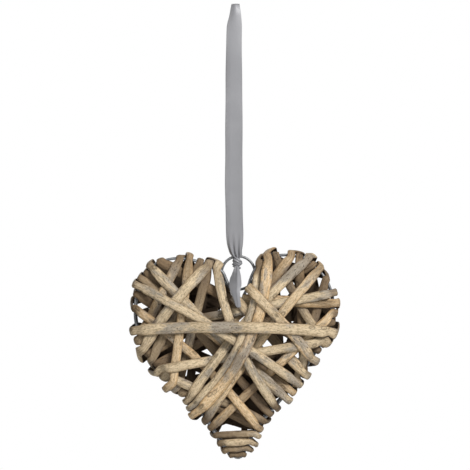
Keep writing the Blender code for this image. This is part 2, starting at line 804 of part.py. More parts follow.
def tail_depths(downs, trees):
    """How far forward the tail hangs at each distance down, clear of all that it lies on."""
    needed = []
    for down in downs:
        half = np.interp(down, [row[0] for row in TAIL_SHAPE], [row[1] for row in TAIL_SHAPE])
        middle = np.interp(down, [row[0] for row in TAIL_SHAPE], [row[2] for row in TAIL_SHAPE])
        reach = min(KNOT_LEVELS[-1][2], (down - downs[0]) * 0.3)
        depth = -reach
        for x in np.linspace(middle - half - TAIL_STEP / 3, middle + half + TAIL_STEP / 3, 5):
            for z in (-down - TAIL_STEP / 2, -down, -down + TAIL_STEP / 2):
                for tree in trees:
                    hit = tree.ray_cast((x, -HALF_DEPTH * 6, z), (0.0, 1.0, 0.0), HALF_DEPTH * 6)
                    if hit[0] is not None:
                        depth = min(depth, hit[0].y - TAIL_CREASE - RIBBON_THICKNESS - CLEARANCE
                                    - TAIL_GAP)
        needed.append(depth)
    return [min(need + TAIL_SLOPE * abs(down - other) for need, other in zip(needed, downs))
            for down in downs]


def tail_sections(downs, depths, behind):
    sections = []
    for down, depth in zip(downs, depths):
        half = np.interp(down, [row[0] for row in TAIL_SHAPE], [row[1] for row in TAIL_SHAPE])
        middle = np.interp(down, [row[0] for row in TAIL_SHAPE], [row[2] for row in TAIL_SHAPE])
        crease = TAIL_CREASE * half / TAIL_SHAPE[3][1]
        front = [np.array([middle - half, depth + behind + crease, -down]),
                 np.array([middle + 0.15 * half, depth + behind, -down]),
                 np.array([middle + half, depth + behind + crease, -down])]
        back = [corner + np.array([0.0, RIBBON_THICKNESS, 0.0]) for corner in reversed(front)]
        sections.append(front + back)
    return sections


def join_solids(name, pieces):
    """One solid out of several that run into each other."""
    whole = pieces[0]
    for piece in pieces[1:]:
        join = whole.modifiers.new("join", "BOOLEAN")
        join.operation = "UNION"
        join.solver = "EXACT"
        join.object = piece
        bpy.context.view_layer.update()
        graph = bpy.context.evaluated_depsgraph_get()
        solid = bpy.data.meshes.new_from_object(whole.evaluated_get(graph))
        whole.modifiers.clear()
        whole.data = solid
        bpy.data.objects.remove(piece, do_unlink=True)
    whole.name = name
    return whole


def ribbon(surface, neighbours):
    """Ribbon loop over the nail, the knot in the ring, and the two tails under it."""
    downs = [down for down, _, _ in RIBBON_WIDTHS]
    half = RIBBON_THICKNESS / 2
    path = [(row, -1) for row in reversed(RIBBON_WIDTHS[1:])] + [(row, 1) for row in RIBBON_WIDTHS]
    centres = [np.array([shift, side * eased(RIBBON_DEPTHS, down), -down])
               for (down, _, shift), side in path]
    sections = []
    for k, ((_, width, _), _) in enumerate(path):
        before = centres[max(k - 1, 0)]
        after = centres[min(k + 1, len(centres) - 1)]
        out = np.array([0.0, after[2] - before[2], before[1] - after[1]])
        out = out / np.linalg.norm(out) * half
        across = np.array([width / 2, 0.0, 0.0])
        sections.append((centres[k] - across - out, centres[k] + across - out,
                         centres[k] + across + out, centres[k] - across + out))
    loop = sweep("ribbon", sections, surface)
    knot = []
    for down, wide, deep in KNOT_LEVELS:
        knot.append([np.array([KNOT_X + wide * math.cos(turn), deep * math.sin(turn), -down])
                     for turn in np.linspace(0.0, 2 * math.pi, KNOT_SIDES, endpoint=False)])
    first, last = TAIL_SHAPE[0][0], TAIL_SHAPE[-1][0]
    steps = round((last - first) / TAIL_STEP)
    levels = [first + (last - first) * k / steps for k in range(steps + 1)]
    depths = tail_depths(levels, [tree_of(item) for item in neighbours])
    shorter = sum(level < SECOND_TAIL_END for level in levels)
    front_tail = sweep("tail", tail_sections(levels, depths, 0.0), surface)
    back_tail = sweep("tail", tail_sections(levels[:shorter], depths, TAIL_GAP + RIBBON_THICKNESS),
                      surface)
    return join_solids("ribbon", [loop, sweep("knot", knot, surface), front_tail, back_tail])


def tree_of(item):
    """Search tree over one solid, in millimetres."""
    corners = [tuple(vertex.co / METRES) for vertex in item.data.vertices]
    return bvhtree.BVHTree.FromPolygons(corners, [tuple(face.vertices) for face in item.data.polygons])


def main():
    for item in list(bpy.data.objects):
        bpy.data.objects.remove(item, do_unlink=True)
    willow = material("willow", WILLOW_COLOUR, 0.8, 0.0)
    wire = material("galvanised_wire", WIRE_COLOUR, 0.45, 0.9)
    satin = material("grey_satin", SATIN_COLOUR, 0.4, 0.0)
    runs, landings = place_runs(FRONT_RUNS, TIP_TURNS)
    layers = list(range(len(FRONT_RUNS))) + [TIP_LAYER] * len(TIP_TURNS)
    chains = join_runs(FRONT_RUNS)
    chains.append([(len(FRONT_RUNS) + turn, 0) for turn in range(len(TIP_TURNS))])
    strips = [wind(chain, runs, landings, layers) for chain in chains]
    settle_heights(strips, sample_strips(strips))
    bodies = [sweep("strip_%02d" % (number + 1), strip_sections(strip), willow)
              for number, strip in enumerate(strips)]
    bodies.append(wire_frame(wire))
    turns = np.linspace(0.0, 2 * math.pi, RING_STATIONS, endpoint=False)
    radius = (RING_OUTER_DIAMETER - RING_WIRE_DIAMETER) / 2
    path = [np.array([radius * math.sin(turn), 0.0, RING_CENTRE_Z + radius * math.cos(turn)])
            for turn in turns]
    sweep("hanging_ring", tube_sections(path, RING_WIRE_DIAMETER / 2, RING_SIDES, True), wire, True)
    ribbon(satin, bodies)


main()
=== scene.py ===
# %% [markdown]
# A wicker heart to hang on a wall. Split willow strips are wound round a double wire heart, a
# steel ring sits in the notch, and a satin ribbon hangs it from a nail. The packed CAD model is
# loaded first and stays the frame: every piece made here stands in the same place as a solid of
# that model, only finer, and the solid it replaces is hidden.

# %% Load the packed model
import json
import math

import bmesh
import bpy
import numpy as np
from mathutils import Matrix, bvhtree, kdtree

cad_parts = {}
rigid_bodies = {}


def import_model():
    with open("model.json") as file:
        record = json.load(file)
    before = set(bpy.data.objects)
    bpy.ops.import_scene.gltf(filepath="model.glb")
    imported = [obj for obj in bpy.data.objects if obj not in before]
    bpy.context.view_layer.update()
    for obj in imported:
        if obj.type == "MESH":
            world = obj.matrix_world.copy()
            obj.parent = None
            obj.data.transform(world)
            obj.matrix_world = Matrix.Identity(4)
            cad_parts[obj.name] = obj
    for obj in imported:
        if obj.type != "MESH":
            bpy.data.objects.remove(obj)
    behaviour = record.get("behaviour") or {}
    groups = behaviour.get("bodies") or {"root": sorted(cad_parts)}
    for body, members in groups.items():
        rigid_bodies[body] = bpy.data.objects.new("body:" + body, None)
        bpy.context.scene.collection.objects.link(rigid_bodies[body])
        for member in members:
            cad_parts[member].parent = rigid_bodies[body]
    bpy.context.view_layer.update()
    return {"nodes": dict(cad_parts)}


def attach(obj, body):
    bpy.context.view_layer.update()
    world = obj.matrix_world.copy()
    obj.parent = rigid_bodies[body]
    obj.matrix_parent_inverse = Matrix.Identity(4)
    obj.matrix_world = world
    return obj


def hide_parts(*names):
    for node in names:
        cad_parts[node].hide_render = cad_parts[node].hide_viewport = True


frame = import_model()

METRES = 0.001
STRIP_NODES = sorted(name for name in frame["nodes"] if name.startswith("strip_"))
print("strips in the CAD model:", len(STRIP_NODES))

# %% [markdown]
# Everything hangs on one line: the bent heart wire. It is given by a few guide points and a
# smooth closed curve through them, and a place on it is a station, in per cent of the way
# round, clockwise from the notch. Strips are then given by the stations of their ends, so they
# keep to the wire when the heart changes its shape.

# %% The outline of the heart wire
NOTCH = (0, -287)
RIGHT_LEG = ((5, -277), (9.4, -268), (11.8, -260.5), (15.5, -253), (19.5, -246))
RIGHT_LOBE = ((25.5, -243), (35, -240), (44, -239), (53, -240), (62.5, -243), (71.5, -250),
              (79, -257), (84.5, -265.5), (88.5, -277), (89.5, -290), (87.5, -304), (83.5, -316))
RIGHT_SIDE = ((74, -328), (62.5, -346), (49, -364), (32.5, -383), (20, -397), (12.5, -408),
              (5.5, -421))
TIP = ((2.5, -427.5), (-2, -430), (-7.5, -427.5))
LEFT_SIDE = ((-13.5, -421), (-22.5, -408), (-31, -395), (-42.5, -378), (-62.5, -357), (-81, -336))
LEFT_LOBE = ((-92, -323), (-96, -309), (-98, -294), (-97, -279), (-93, -266), (-86, -254),
             (-78, -246), (-66, -242), (-55, -241), (-43, -243), (-31, -247))
LEFT_LEG = ((-20, -251), (-14.5, -255), (-11, -263), (-5, -276))
OUTLINE_SAMPLES = 1000
STEPS_BETWEEN_GUIDES = 12
TANGENT_REACH = 3
WIRE_DIAMETER = 2.5
FRAME_DEPTH = 26.0
CLEARANCE = 0.3


def closed_curve(points, count):
    """Smooth closed curve through the points, as evenly spaced samples, and its length."""
    knots = np.array(points, float)
    total = len(knots)
    fine = []
    for index in range(total):
        before, here = knots[index - 1], knots[index]
        after, beyond = knots[(index + 1) % total], knots[(index + 2) % total]
        for t in np.linspace(0.0, 1.0, STEPS_BETWEEN_GUIDES, endpoint=False):
            fine.append(0.5 * (2 * here + (after - before) * t
                               + (2 * before - 5 * here + 4 * after - beyond) * t ** 2
                               + (3 * here - before - 3 * after + beyond) * t ** 3))
    loop = np.array(fine + fine[:1])
    along = np.concatenate([[0.0], np.cumsum(np.hypot(*np.diff(loop, axis=0).T))])
    even = np.linspace(0.0, along[-1], count, endpoint=False)
    samples = np.stack([np.interp(even, along, loop[:, 0]), np.interp(even, along, loop[:, 1])], 1)
    return samples, along[-1]


OUTLINE, OUTLINE_LENGTH = closed_curve(
    (NOTCH,) + RIGHT_LEG + RIGHT_LOBE + RIGHT_SIDE + TIP + LEFT_SIDE + LEFT_LOBE + LEFT_LEG,
    OUTLINE_SAMPLES)
WIRE_RADIUS = WIRE_DIAMETER / 2
BASE = WIRE_RADIUS + CLEARANCE
HALF_DEPTH = FRAME_DEPTH / 2


def outline_at(station):
    """Point, tangent and outward normal of the outline at a station."""
    place = (station % 100.0) / 100.0 * OUTLINE_SAMPLES
    first = int(place) % OUTLINE_SAMPLES
    share = place - int(place)
    point = OUTLINE[first] * (1 - share) + OUTLINE[(first + 1) % OUTLINE_SAMPLES] * share
    tangent = OUTLINE[(first + 1 + TANGENT_REACH) % OUTLINE_SAMPLES] \
        - OUTLINE[(first - TANGENT_REACH) % OUTLINE_SAMPLES]
    tangent = tangent / np.hypot(*tangent)
    return point, tangent, np.array([-tangent[1], tangent[0]])


def inside_outline(point):
    after = np.roll(OUTLINE, -1, axis=0)
    spans = (OUTLINE[:, 1] > point[1]) != (after[:, 1] > point[1])
    rise = np.where(after[:, 1] == OUTLINE[:, 1], 1.0, after[:, 1] - OUTLINE[:, 1])
    cross = OUTLINE[:, 0] + (after[:, 0] - OUTLINE[:, 0]) * (point[1] - OUTLINE[:, 1]) / rise
    return int(np.count_nonzero(spans & (point[0] < cross))) % 2 == 1


def in_space(point, y):
    return np.array([point[0], y, point[1]])


print("length round the heart %.0f mm" % OUTLINE_LENGTH)

# %% [markdown]
# The front of the real heart shows about thirty crossings, some over and some under the others.
# They are listed from the lowest to the highest, as a weaver would lay them, each with the
# stations of its two ends, its width and how far it bows sideways. Four short turns bind the
# tip. The back can't be seen, so it is worked out from the front.

# %% The crossings on the front
FRONT_RUNS = (
    (24.9, 61.2, 7.7, 0.0),
    (44.2, 62.8, 7.2, 0.0),
    (78.8, 37.6, 8.3, 0.0),
    (85.0, 29.5, 9.5, 0.0),
    (15.6, 69.0, 7.7, 0.0),
    (13.4, 33.4, 8.5, 0.0),
    (18.4, 35.0, 8.3, 0.0),
    (9.7, 28.0, 8.3, -3.0),
    (73.3, 20.6, 8.7, 0.0),
    (12.6, 67.0, 9.0, 12.0),
    (82.0, 41.2, 8.3, 0.0),
    (91.0, 68.6, 8.8, 0.0),
    (92.6, 63.4, 8.7, 0.0),
    (98.3, 33.8, 9.5, 0.0),
    (81.6, 36.4, 9.0, -2.0),
    (42.6, 65.2, 8.3, 0.0),
    (55.4, 23.7, 8.1, 0.0),
    (87.8, 71.7, 9.0, 0.0),
    (76.7, 44.2, 8.3, 6.4),
    (89.2, 64.4, 8.7, 0.0),
    (82.8, 37.7, 9.5, -2.0),
    (16.2, 56.8, 9.2, -4.0),
    (65.8, 27.7, 9.0, 0.0),
    (14.0, 61.3, 9.2, -6.0),
    (92.9, 70.1, 10.4, -3.8),
    (93.5, 39.8, 8.8, -8.7),
    (80.4, 35.3, 8.8, 3.8),
    (7.2, 60.4, 8.7, 15.0),
    (22.1, 1.2, 10.4, 0.0),
    (8.6, 59.2, 10.3, 15.7),
    (3.2, 31.0, 9.5, 1.9),
    (73.2, 26.3, 10.9, 4.2),
)
CUT_ENDS = ((30, 0), (28, 1), (13, 0))
TIP_TURNS = ((54.0, 44.9, 6.9, 0.0), (52.7, 46.2, 6.8, 0.0), (51.5, 47.3, 6.6, 0.0),
             (50.4, 48.3, 5.8, 0.0))
TIP_LEAD = 0.3
TIP_LAYER = 18.5
STRIP_THICKNESS = 1.6
LAYER_GAP = 0.4
SPAN_STEP = 20.0
FREE_END_LENGTH = 78.0
FREE_END_START = 9.0
FREE_END_STOP = 14.0
SHORTEST_END = 14.0
SIDE_SLIP = 7.0
LONGEST_INWARD_BOW = 5.0
RUNS_PER_STRIP = 4
EDGE_TAPER = 0.75
EDGE_GAP = 1.0
LONGEST_SHIFT = 13.0
STACKED_SHARE = 0.3
KEPT_CLEAR = ((0.0, 3.6), (3.25, 1.8), (5.75, 1.4), (94.25, 1.4), (96.9, 1.8))
SHORT_RUN = 24.0


class Run:
    """A strip's straight or bowed way across one face of the heart."""

    def __init__(self, start, end, width, bow):
        self.stations = (start, end)
        self.width = width
        self.bow = bow
        self.first = outline_at(start)[0]
        self.last = outline_at(end)[0]
        chord = self.last - self.first
        self.length = float(np.hypot(*chord))
        self.along = chord / self.length
        self.left = np.array([-self.along[1], self.along[0]])

    def point(self, t):
        return self.first + self.along * self.length * t + self.left * self.bow * 4 * t * (1 - t)

    def heading(self, t):
        way = self.along * self.length + self.left * self.bow * 4 * (1 - 2 * t)
        return way / np.hypot(*way)

    def outward(self, end):
        """Heading in which the strip leaves the face at one of its two ends."""
        return self.heading(1.0) if end else -self.heading(0.0)

    def reverse(self):
        return Run(self.stations[1], self.stations[0], self.width, -self.bow)


print("crossings on the front:", len(FRONT_RUNS), "and", len(TIP_TURNS), "turns round the tip")

# %% [markdown]
# Where strips bend over the wire they lie side by side, or squarely on one another. A small
# relaxation shifts their ends along the edge until that is so, and keeps the notch free for
# the ring. A strip that meets the edge at a slant arrives a little further on at the back.

# %% Ends of the strips along the edge
SPREAD_ROUNDS = 400
PUSH_APART = 0.5
PULL_TOGETHER = 0.1
PULL_HOME = 0.02
MOVE_EACH_ROUND = 0.3
LEAST_FACING = 0.3
LEAST_EDGE_COSINE = 0.5


def round_the_edge(length):
    """The same length along the outline, taken the shorter way round."""
    return (length + OUTLINE_LENGTH / 2) % OUTLINE_LENGTH - OUTLINE_LENGTH / 2


def spread(stations, halves, fixed):
    """Shift strips along the edge until they lie side by side or squarely on one another, clear
    of the notch and of the places where the ring passes the legs of the notch."""
    home = np.array(stations) / 100.0 * OUTLINE_LENGTH
    place = home.copy()
    half = np.array(halves)
    free = np.array([0.0 if still else 1.0 for still in fixed])
    wanted = half[:, None] + half[None, :] + EDGE_GAP
    for _ in range(SPREAD_ROUNDS):
        apart_by = round_the_edge(place[:, None] - place[None, :])
        distance = np.abs(apart_by)
        close = (distance < wanted) & ~np.eye(len(place), dtype=bool)
        beside = close & (distance > STACKED_SHARE * wanted)
        way = np.where(apart_by >= 0, 1.0, -1.0)
        move = np.where(beside, PUSH_APART * way * (wanted - distance), 0.0)
        move -= np.where(close & ~beside, PULL_TOGETHER * apart_by, 0.0)
        place += free * MOVE_EACH_ROUND * move.sum(axis=1)
        place += free * PULL_HOME * (home - place)
        place = np.clip(place, home - LONGEST_SHIFT, home + LONGEST_SHIFT)
        for station, reach in KEPT_CLEAR:
            middle = station / 100.0 * OUTLINE_LENGTH
            side = np.where(round_the_edge(home - middle) >= 0, 1.0, -1.0)
            short = np.maximum(reach + half - side * round_the_edge(place - middle), 0.0)
            place += free * side * short * (short < OUTLINE_LENGTH / 4)
    return [float(value) for value in place / OUTLINE_LENGTH * 100.0]


def slipped(station, outward):
    """Station where a strip that leaves one face reaches the other one."""
    tangent, normal = outline_at(station)[1:]
    slope = float(outward @ tangent) / max(float(outward @ normal), LEAST_FACING)
    slip = 0.5 * (FRAME_DEPTH + 2 * BASE) * slope
    return station + max(-SIDE_SLIP, min(SIDE_SLIP, slip)) / OUTLINE_LENGTH * 100.0


def turned_back(station, outward):
    """Heading of the strip on the other face, as if it were mirrored in the edge."""
    normal = outline_at(station)[2]
    way = outward - 2 * float(outward @ normal) * normal
    return way / np.hypot(*way)


def edge_cosine(station, outward):
    return max(LEAST_EDGE_COSINE, float(outward @ outline_at(station)[2]))


def edge_half(width, station, outward):
    """Half of the length along the edge that a strip covers where it bends round the wire."""
    return width / 2 * EDGE_TAPER / edge_cosine(station, outward)


def place_runs(rows, fixed_rows):
    """Runs with their ends spread along the edge, and the stations where each of them reaches
    the back."""
    runs = [Run(*row) for row in rows + fixed_rows]
    still = [False] * len(rows) + [True] * len(fixed_rows)
    keys = [(index, end) for index in range(len(runs)) for end in (0, 1)]
    halves = [edge_half(runs[index].width, runs[index].stations[end], runs[index].outward(end))
              for index, end in keys]
    halves = [0.0 if key in CUT_ENDS else half for key, half in zip(keys, halves)]
    fixed = [still[index] or (index, end) in CUT_ENDS for index, end in keys]
    stations = [runs[index].stations[end] for index, end in keys]
    moved = dict(zip(keys, spread(stations, halves, fixed)))
    runs = [Run(moved[index, 0], moved[index, 1], run.width, run.bow)
            for index, run in enumerate(runs)]
    slid = []
    for index, end in keys:
        station, outward = runs[index].stations[end], runs[index].outward(end)
        slid.append(station + TIP_LEAD if still[index] else slipped(station, outward))
    landings = dict(zip(keys, spread(slid, halves, fixed)))
    return runs, landings


runs, landings = place_runs(FRONT_RUNS, TIP_TURNS)
print("ends placed on the back:", len(landings))

# %% [markdown]
# Each end goes on across the back to the free end that lies straightest ahead of it, until all
# crossings are joined into eleven long strips. This is how a weaver works too: one long
# strip goes round and round until it is used up.

# %% Joining the crossings into long strips
SHORTEST_LINK_SHARE = 0.09
LINK_SPACING_SHARE = 0.0131
LONGEST_BESIDE_SHARE = 0.058
SHARPEST_TURN = 57.5
BESIDE_SAMPLES = 41
INSIDE_SHARES = np.linspace(0.06, 0.94, 12)


def apart(first, second):
    return float(np.hypot(*(first - second)))


def length_beside(link, other):
    """Length over which one straight link keeps close to another one."""
    way = other[1] - other[0]
    length = float(np.hypot(*way))
    near = 0
    for t in np.linspace(0.0, 1.0, BESIDE_SAMPLES):
        offset = link[0] + (link[1] - link[0]) * t - other[0]
        along = max(0.0, min(1.0, float(offset @ way) / length ** 2))
        near += apart(offset, along * way) < LINK_SPACING_SHARE * OUTLINE_LENGTH
    return near / BESIDE_SAMPLES * apart(*link)


def join_runs(rows):
    """Join the front runs into strips: each end goes on across the back to the free end that
    lies most nearly straight ahead of it."""
    runs = [Run(*row) for row in rows]
    ends = []
    for index, run in enumerate(runs):
        for end in (0, 1):
            if (index, end) not in CUT_ENDS:
                place = run.stations[end]
                ahead = turned_back(place, run.outward(end))
                ends.append((index, end, outline_at(place)[0], ahead))
    choices = []
    for first in range(len(ends)):
        for second in range(first + 1, len(ends)):
            index, _, place, ahead = ends[first]
            other, _, other_place, other_ahead = ends[second]
            gap = other_place - place
            length = float(np.hypot(*gap))
            if index == other or length < SHORTEST_LINK_SHARE * OUTLINE_LENGTH:
                continue
            cosines = (float(gap @ ahead) / length, -float(gap @ other_ahead) / length)
            turns = [math.degrees(math.acos(max(-1.0, min(1.0, cosine)))) for cosine in cosines]
            if max(turns) > SHARPEST_TURN:
                continue
            if all(inside_outline(place + gap * t) for t in INSIDE_SHARES):
                choices.append((sum(turns) + max(turns), first, second))
    group = list(range(len(runs)))
    laid = []
    taken = {}
    for _, first, second in sorted(choices):
        index, other = ends[first][0], ends[second][0]
        together = [g for g in group if g in (group[index], group[other])]
        if first in taken or second in taken or group[index] == group[other]:
            continue
        if len(together) > RUNS_PER_STRIP:
            continue
        sides = (ends[first][2], ends[second][2])
        longest = LONGEST_BESIDE_SHARE * OUTLINE_LENGTH
        if any(length_beside(sides, earlier) > longest for earlier in laid):
            continue
        laid.append(sides)
        joined = group[other]
        group = [group[index] if g == joined else g for g in group]
        taken[first] = second
        taken[second] = first
    partner = {}
    for first, second in taken.items():
        partner[ends[first][:2]] = ends[second][:2]
    strips = []
    used = set()
    for index in range(len(runs)):
        for end in (0, 1):
            if index in used or (index, end) in partner:
                continue
            chain = []
            here, enter = index, end
            while True:
                used.add(here)
                chain.append((here, enter))
                onward = partner.get((here, 1 - enter))
                if onward is None:
                    break
                here, enter = onward
            strips.append(chain)
    return strips


chains = join_runs(FRONT_RUNS)
chains.append([(len(FRONT_RUNS) + turn, 0) for turn in range(len(TIP_TURNS))])
print("strips:", len(chains), "crossings in each:", [len(chain) for chain in chains])

# %% [markdown]
# A strip is laid as a row of cross sections: flat across a face, then turned round the front
# wire, straight over the side, and round the back wire. Each section keeps the layer that it
# belongs to.

# %% Laying one strip
FOLD_MARGIN = 7.0
FOLD_ROOM = 4.0
LARGEST_MARGIN_SHARE = 0.35


class Strip:
    """Sections of one wound strip: two rail points with their outward normals, the layer that
    the section belongs to, and the leg, one for each face that the strip crosses."""

    def __init__(self):
        self.rails = []
        self.layers = []
        self.legs = []
        self.on_edge = []
        self.leg = 0

    def add(self, left, right, left_normal, right_normal, layer, on_edge):
        self.rails.append((left, right, left_normal, right_normal))
        self.layers.append(layer)
        self.legs.append(self.leg)
        self.on_edge.append(on_edge)

    def flat(self, point, heading, side, width, layer):
        """Section square to the strip on the front (side -1) or the back (side 1)."""
        normal = np.array([0.0, side, 0.0])
        left = np.array([heading[1] * side, 0.0, -heading[0] * side]) * width / 2
        centre = in_space(point, side * (HALF_DEPTH + BASE))
        self.add(centre + left, centre - left, normal, normal, layer, False)

    def fold(self, station, half, angle, side, way, layer):
        """Section along the outline where the strip bends round a wire."""
        rails = []
        for sign in (-way, way):
            point, _, normal = outline_at(station + sign * half / OUTLINE_LENGTH * 100.0)
            out = np.array([normal[0] * math.sin(angle), side * math.cos(angle),
                            normal[1] * math.sin(angle)])
            rails.append((in_space(point, side * HALF_DEPTH) + out * BASE, out))
        self.add(rails[0][0], rails[1][0], rails[0][1], rails[1][1], layer, True)

    def wrap(self, width, near, near_way, far, far_way, side, layer):
        """Way over the edge, from the face on the given side to the other face."""
        slope = (far - near) / 100.0 * OUTLINE_LENGTH / FRAME_DEPTH
        middle = width / 2 * EDGE_TAPER * math.hypot(1.0, slope)
        halves = [edge_half(width, near, near_way), middle, edge_half(width, far, far_way)]
        way = -side
        for step in range(3):
            half = halves[0] + (halves[1] - halves[0]) * step / 2
            self.fold(near, half, step * math.pi / 4, side, way, layer)
        self.leg += 1
        for step in (2, 1, 0):
            half = halves[2] + (halves[1] - halves[2]) * step / 2
            self.fold(far, half, step * math.pi / 4, -side, way, layer)

    def cross(self, run, side, widths, layers):
        """Sections across a face, between the folds at both ends."""
        margins = []
        for end in (0, 1):
            cosine = min(1.0, edge_cosine(run.stations[end], run.outward(end)))
            margin = max(FOLD_MARGIN, run.width / 2 * math.tan(math.acos(cosine)) + FOLD_ROOM)
            margins.append(min(margin, LARGEST_MARGIN_SHARE * run.length))
        inner = run.length - sum(margins)
        count = max(1, round(inner / SPAN_STEP))
        places = [(margins[0] + inner * k / count) / run.length for k in range(count + 1)]
        if run.length < SHORT_RUN:
            places = [0.5]
        for t in places:
            eased = min(1.0, max(0.0, 2 * t - 0.5))
            self.flat(run.point(t), run.heading(t), side, widths[0] + (widths[1] - widths[0]) * t,
                      layers[0] + (layers[1] - layers[0]) * eased)

    def free_end(self, station, tail, width, layer, leaving):
        """Loose end of a strip, laid on the back and cut off before it reaches the far edge."""
        foot = outline_at(station)[0]
        length = FREE_END_LENGTH
        while length > SHORTEST_END and not inside_outline(foot + tail * (length + FREE_END_STOP)):
            length = max(SHORTEST_END, length - FREE_END_STOP / 2)
        count = max(2, round((length - FREE_END_START) / SPAN_STEP))
        places = np.linspace(FREE_END_START, length, count + 1)
        for distance in places if leaving else places[::-1]:
            self.flat(foot + tail * distance, tail if leaving else -tail, 1, width, layer)


def wind(chain, runs, landings, layers):
    """Lay one strip: front runs in order, carried over the edges and across the back."""
    strip = Strip()
    for number, (index, enter) in enumerate(chain):
        run = runs[index] if enter == 0 else runs[index].reverse()
        layer = layers[index]
        start, outward = landings[index, enter], run.outward(0)
        if number == 0 and (index, enter) in CUT_ENDS:
            strip.flat(run.point(0.0), run.heading(0.0), -1, run.width, layer)
        elif number == 0:
            tail = turned_back(start, outward)
            strip.free_end(start, tail, run.width, layer, False)
            strip.wrap(run.width, start, -tail, run.stations[0], outward, 1, layer)
        strip.cross(run, -1, (run.width, run.width), (layer, layer))
        finish, outward = landings[index, 1 - enter], run.outward(1)
        if number + 1 == len(chain) and (index, 1 - enter) in CUT_ENDS:
            strip.flat(run.point(1.0), run.heading(1.0), -1, run.width, layer)
            continue
        if number + 1 == len(chain):
            tail = turned_back(finish, outward)
            strip.wrap(run.width, run.stations[1], outward, finish, -tail, -1, layer)
            strip.free_end(finish, tail, run.width, layer, True)
            continue
        follow, follow_enter = chain[number + 1]
        onward = runs[follow] if follow_enter == 0 else runs[follow].reverse()
        landing = landings[follow, follow_enter]
        link = Run(finish, landing, (run.width + onward.width) / 2, 0.0)
        strip.wrap(run.width, run.stations[1], outward, finish, link.outward(0), -1, layer)
        strip.cross(link, 1, (run.width, onward.width), (layer, layers[follow]))
        strip.wrap(onward.width, landing, link.outward(1), onward.stations[0], onward.outward(0), 1,
                   layers[follow])
    return strip


layers = list(range(len(FRONT_RUNS))) + [TIP_LAYER] * len(TIP_TURNS)
strips = [wind(chain, runs, landings, layers) for chain in chains]
print("sections laid:", sum(len(strip.rails) for strip in strips))

# %% [markdown]
# Strips that cross can't be in the same place. Fine samples find every crossing, and its upper
# strip is the one of the higher layer, unless that would close a ring of strips that each lie
# on the next, which nothing could lift apart.

# %% Finding the crossings
SAMPLE_STEP = 2.0
CONTACT_REACH = 1.6
OWN_PATH = 20.0
EDGE_WEIGHT = 1.0e6
ACROSS_SHARES = (0.06, 0.28, 0.5, 0.72, 0.94)
CLUSTER_GAP = 4


def stiff_parts(strip):
    """Number for each section, the same for all that keep close to one bend over the edge."""
    count = len(strip.rails)
    parts = []
    for k in range(count):
        bent = [strip.on_edge[j] for j in (max(k - 1, 0), k, min(k + 1, count - 1))]
        if k == 0 or not bent[0] and (bent[2] or not bent[1]):
            parts.append(k)
        else:
            parts.append(parts[-1])
    return parts


def sample_strips(strips):
    """Fine samples between the sections of all strips, for finding where they cross."""
    kinds = ("strip", "section", "share", "layer", "leg", "edge", "points", "run", "node")
    samples = {kind: [] for kind in kinds}
    offset = 0
    for number, strip in enumerate(strips):
        run = 0.0
        parts = stiff_parts(strip)
        for k in range(len(strip.rails) - 1):
            left, right = strip.rails[k][:2]
            next_left, next_right = strip.rails[k + 1][:2]
            reach = max(np.linalg.norm(next_left - left), np.linalg.norm(next_right - right))
            middle = np.linalg.norm(next_left + next_right - left - right) / 2
            pieces = max(1, math.ceil(reach / SAMPLE_STEP))
            for piece in range(pieces):
                share = (piece + 0.5) / pieces
                a = left * (1 - share) + next_left * share
                b = right * (1 - share) + next_right * share
                row = (number, offset + k, share,
                       strip.layers[k] * (1 - share) + strip.layers[k + 1] * share,
                       (number, strip.legs[k] if share < 0.5 else strip.legs[k + 1]),
                       strip.on_edge[k] and strip.on_edge[k + 1],
                       [a + (b - a) * u for u in ACROSS_SHARES],
                       run + middle * share, (offset + parts[k], offset + parts[k + 1]))
                for kind, value in zip(kinds, row):
                    samples[kind].append(value)
            run += middle
        offset += len(strip.rails)
    return samples


def find_contacts(samples):
    """Pairs of samples, upper first, where two strips lie over each other."""
    each = len(ACROSS_SHARES)
    tree = kdtree.KDTree(len(samples["points"]) * each)
    for index, points in enumerate(samples["points"]):
        for k, point in enumerate(points):
            tree.insert(point, index * each + k)
    tree.balance()
    crossings = {}
    for index, points in enumerate(samples["points"]):
        near = set()
        for point in points:
            near.update(found[1] // each for found in tree.find_range(point, CONTACT_REACH))
        for other in near:
            if other <= index:
                continue
            same = samples["strip"][index] == samples["strip"][other]
            if same and samples["run"][other] - samples["run"][index] < OWN_PATH:
                continue
            key = (samples["leg"][index], samples["leg"][other])
            crossings.setdefault(key, []).append((index, other))
    clusters = []
    for pairs in crossings.values():
        pairs.sort()
        cluster = [pairs[0]]
        for pair in pairs[1:] + [None]:
            if pair is not None and pair[0] - cluster[-1][0] <= CLUSTER_GAP:
                cluster.append(pair)
                continue
            balance = 0.0
            for a, b in cluster:
                weight = EDGE_WEIGHT if samples["edge"][a] and samples["edge"][b] else 1.0
                balance += weight * (samples["layer"][a] - samples["layer"][b])
            if balance <= 0:
                cluster = [(b, a) for a, b in cluster]
            clusters.append((abs(balance), cluster))
            cluster = [pair]
    return order_contacts(clusters, samples["node"])


def reaches(above, starts, goals):
    """Whether any goal lies above any start, through the contacts laid so far."""
    seen = set(starts)
    stack = list(starts)
    while stack:
        for onward in above.get(stack.pop(), ()):
            if onward in goals:
                return True
            if onward not in seen:
                seen.add(onward)
                stack.append(onward)
    return False


def order_contacts(clusters, node):
    """Lay the surest crossings first, and turn over any later one that would close a loop of
    strips, each lying on the next."""
    above = {}
    upper, lower = [], []
    for _, cluster in sorted(clusters, key=lambda entry: -entry[0]):
        over = {part for a, _ in cluster for part in node[a]}
        under = {part for _, b in cluster for part in node[b]}
        if reaches(above, over, under) and not reaches(above, under, over):
            cluster = [(b, a) for a, b in cluster]
        for a, b in cluster:
            for part in node[b]:
                above.setdefault(part, set()).update(node[a])
            upper.append(a)
            lower.append(b)
    return np.array(upper), np.array(lower)


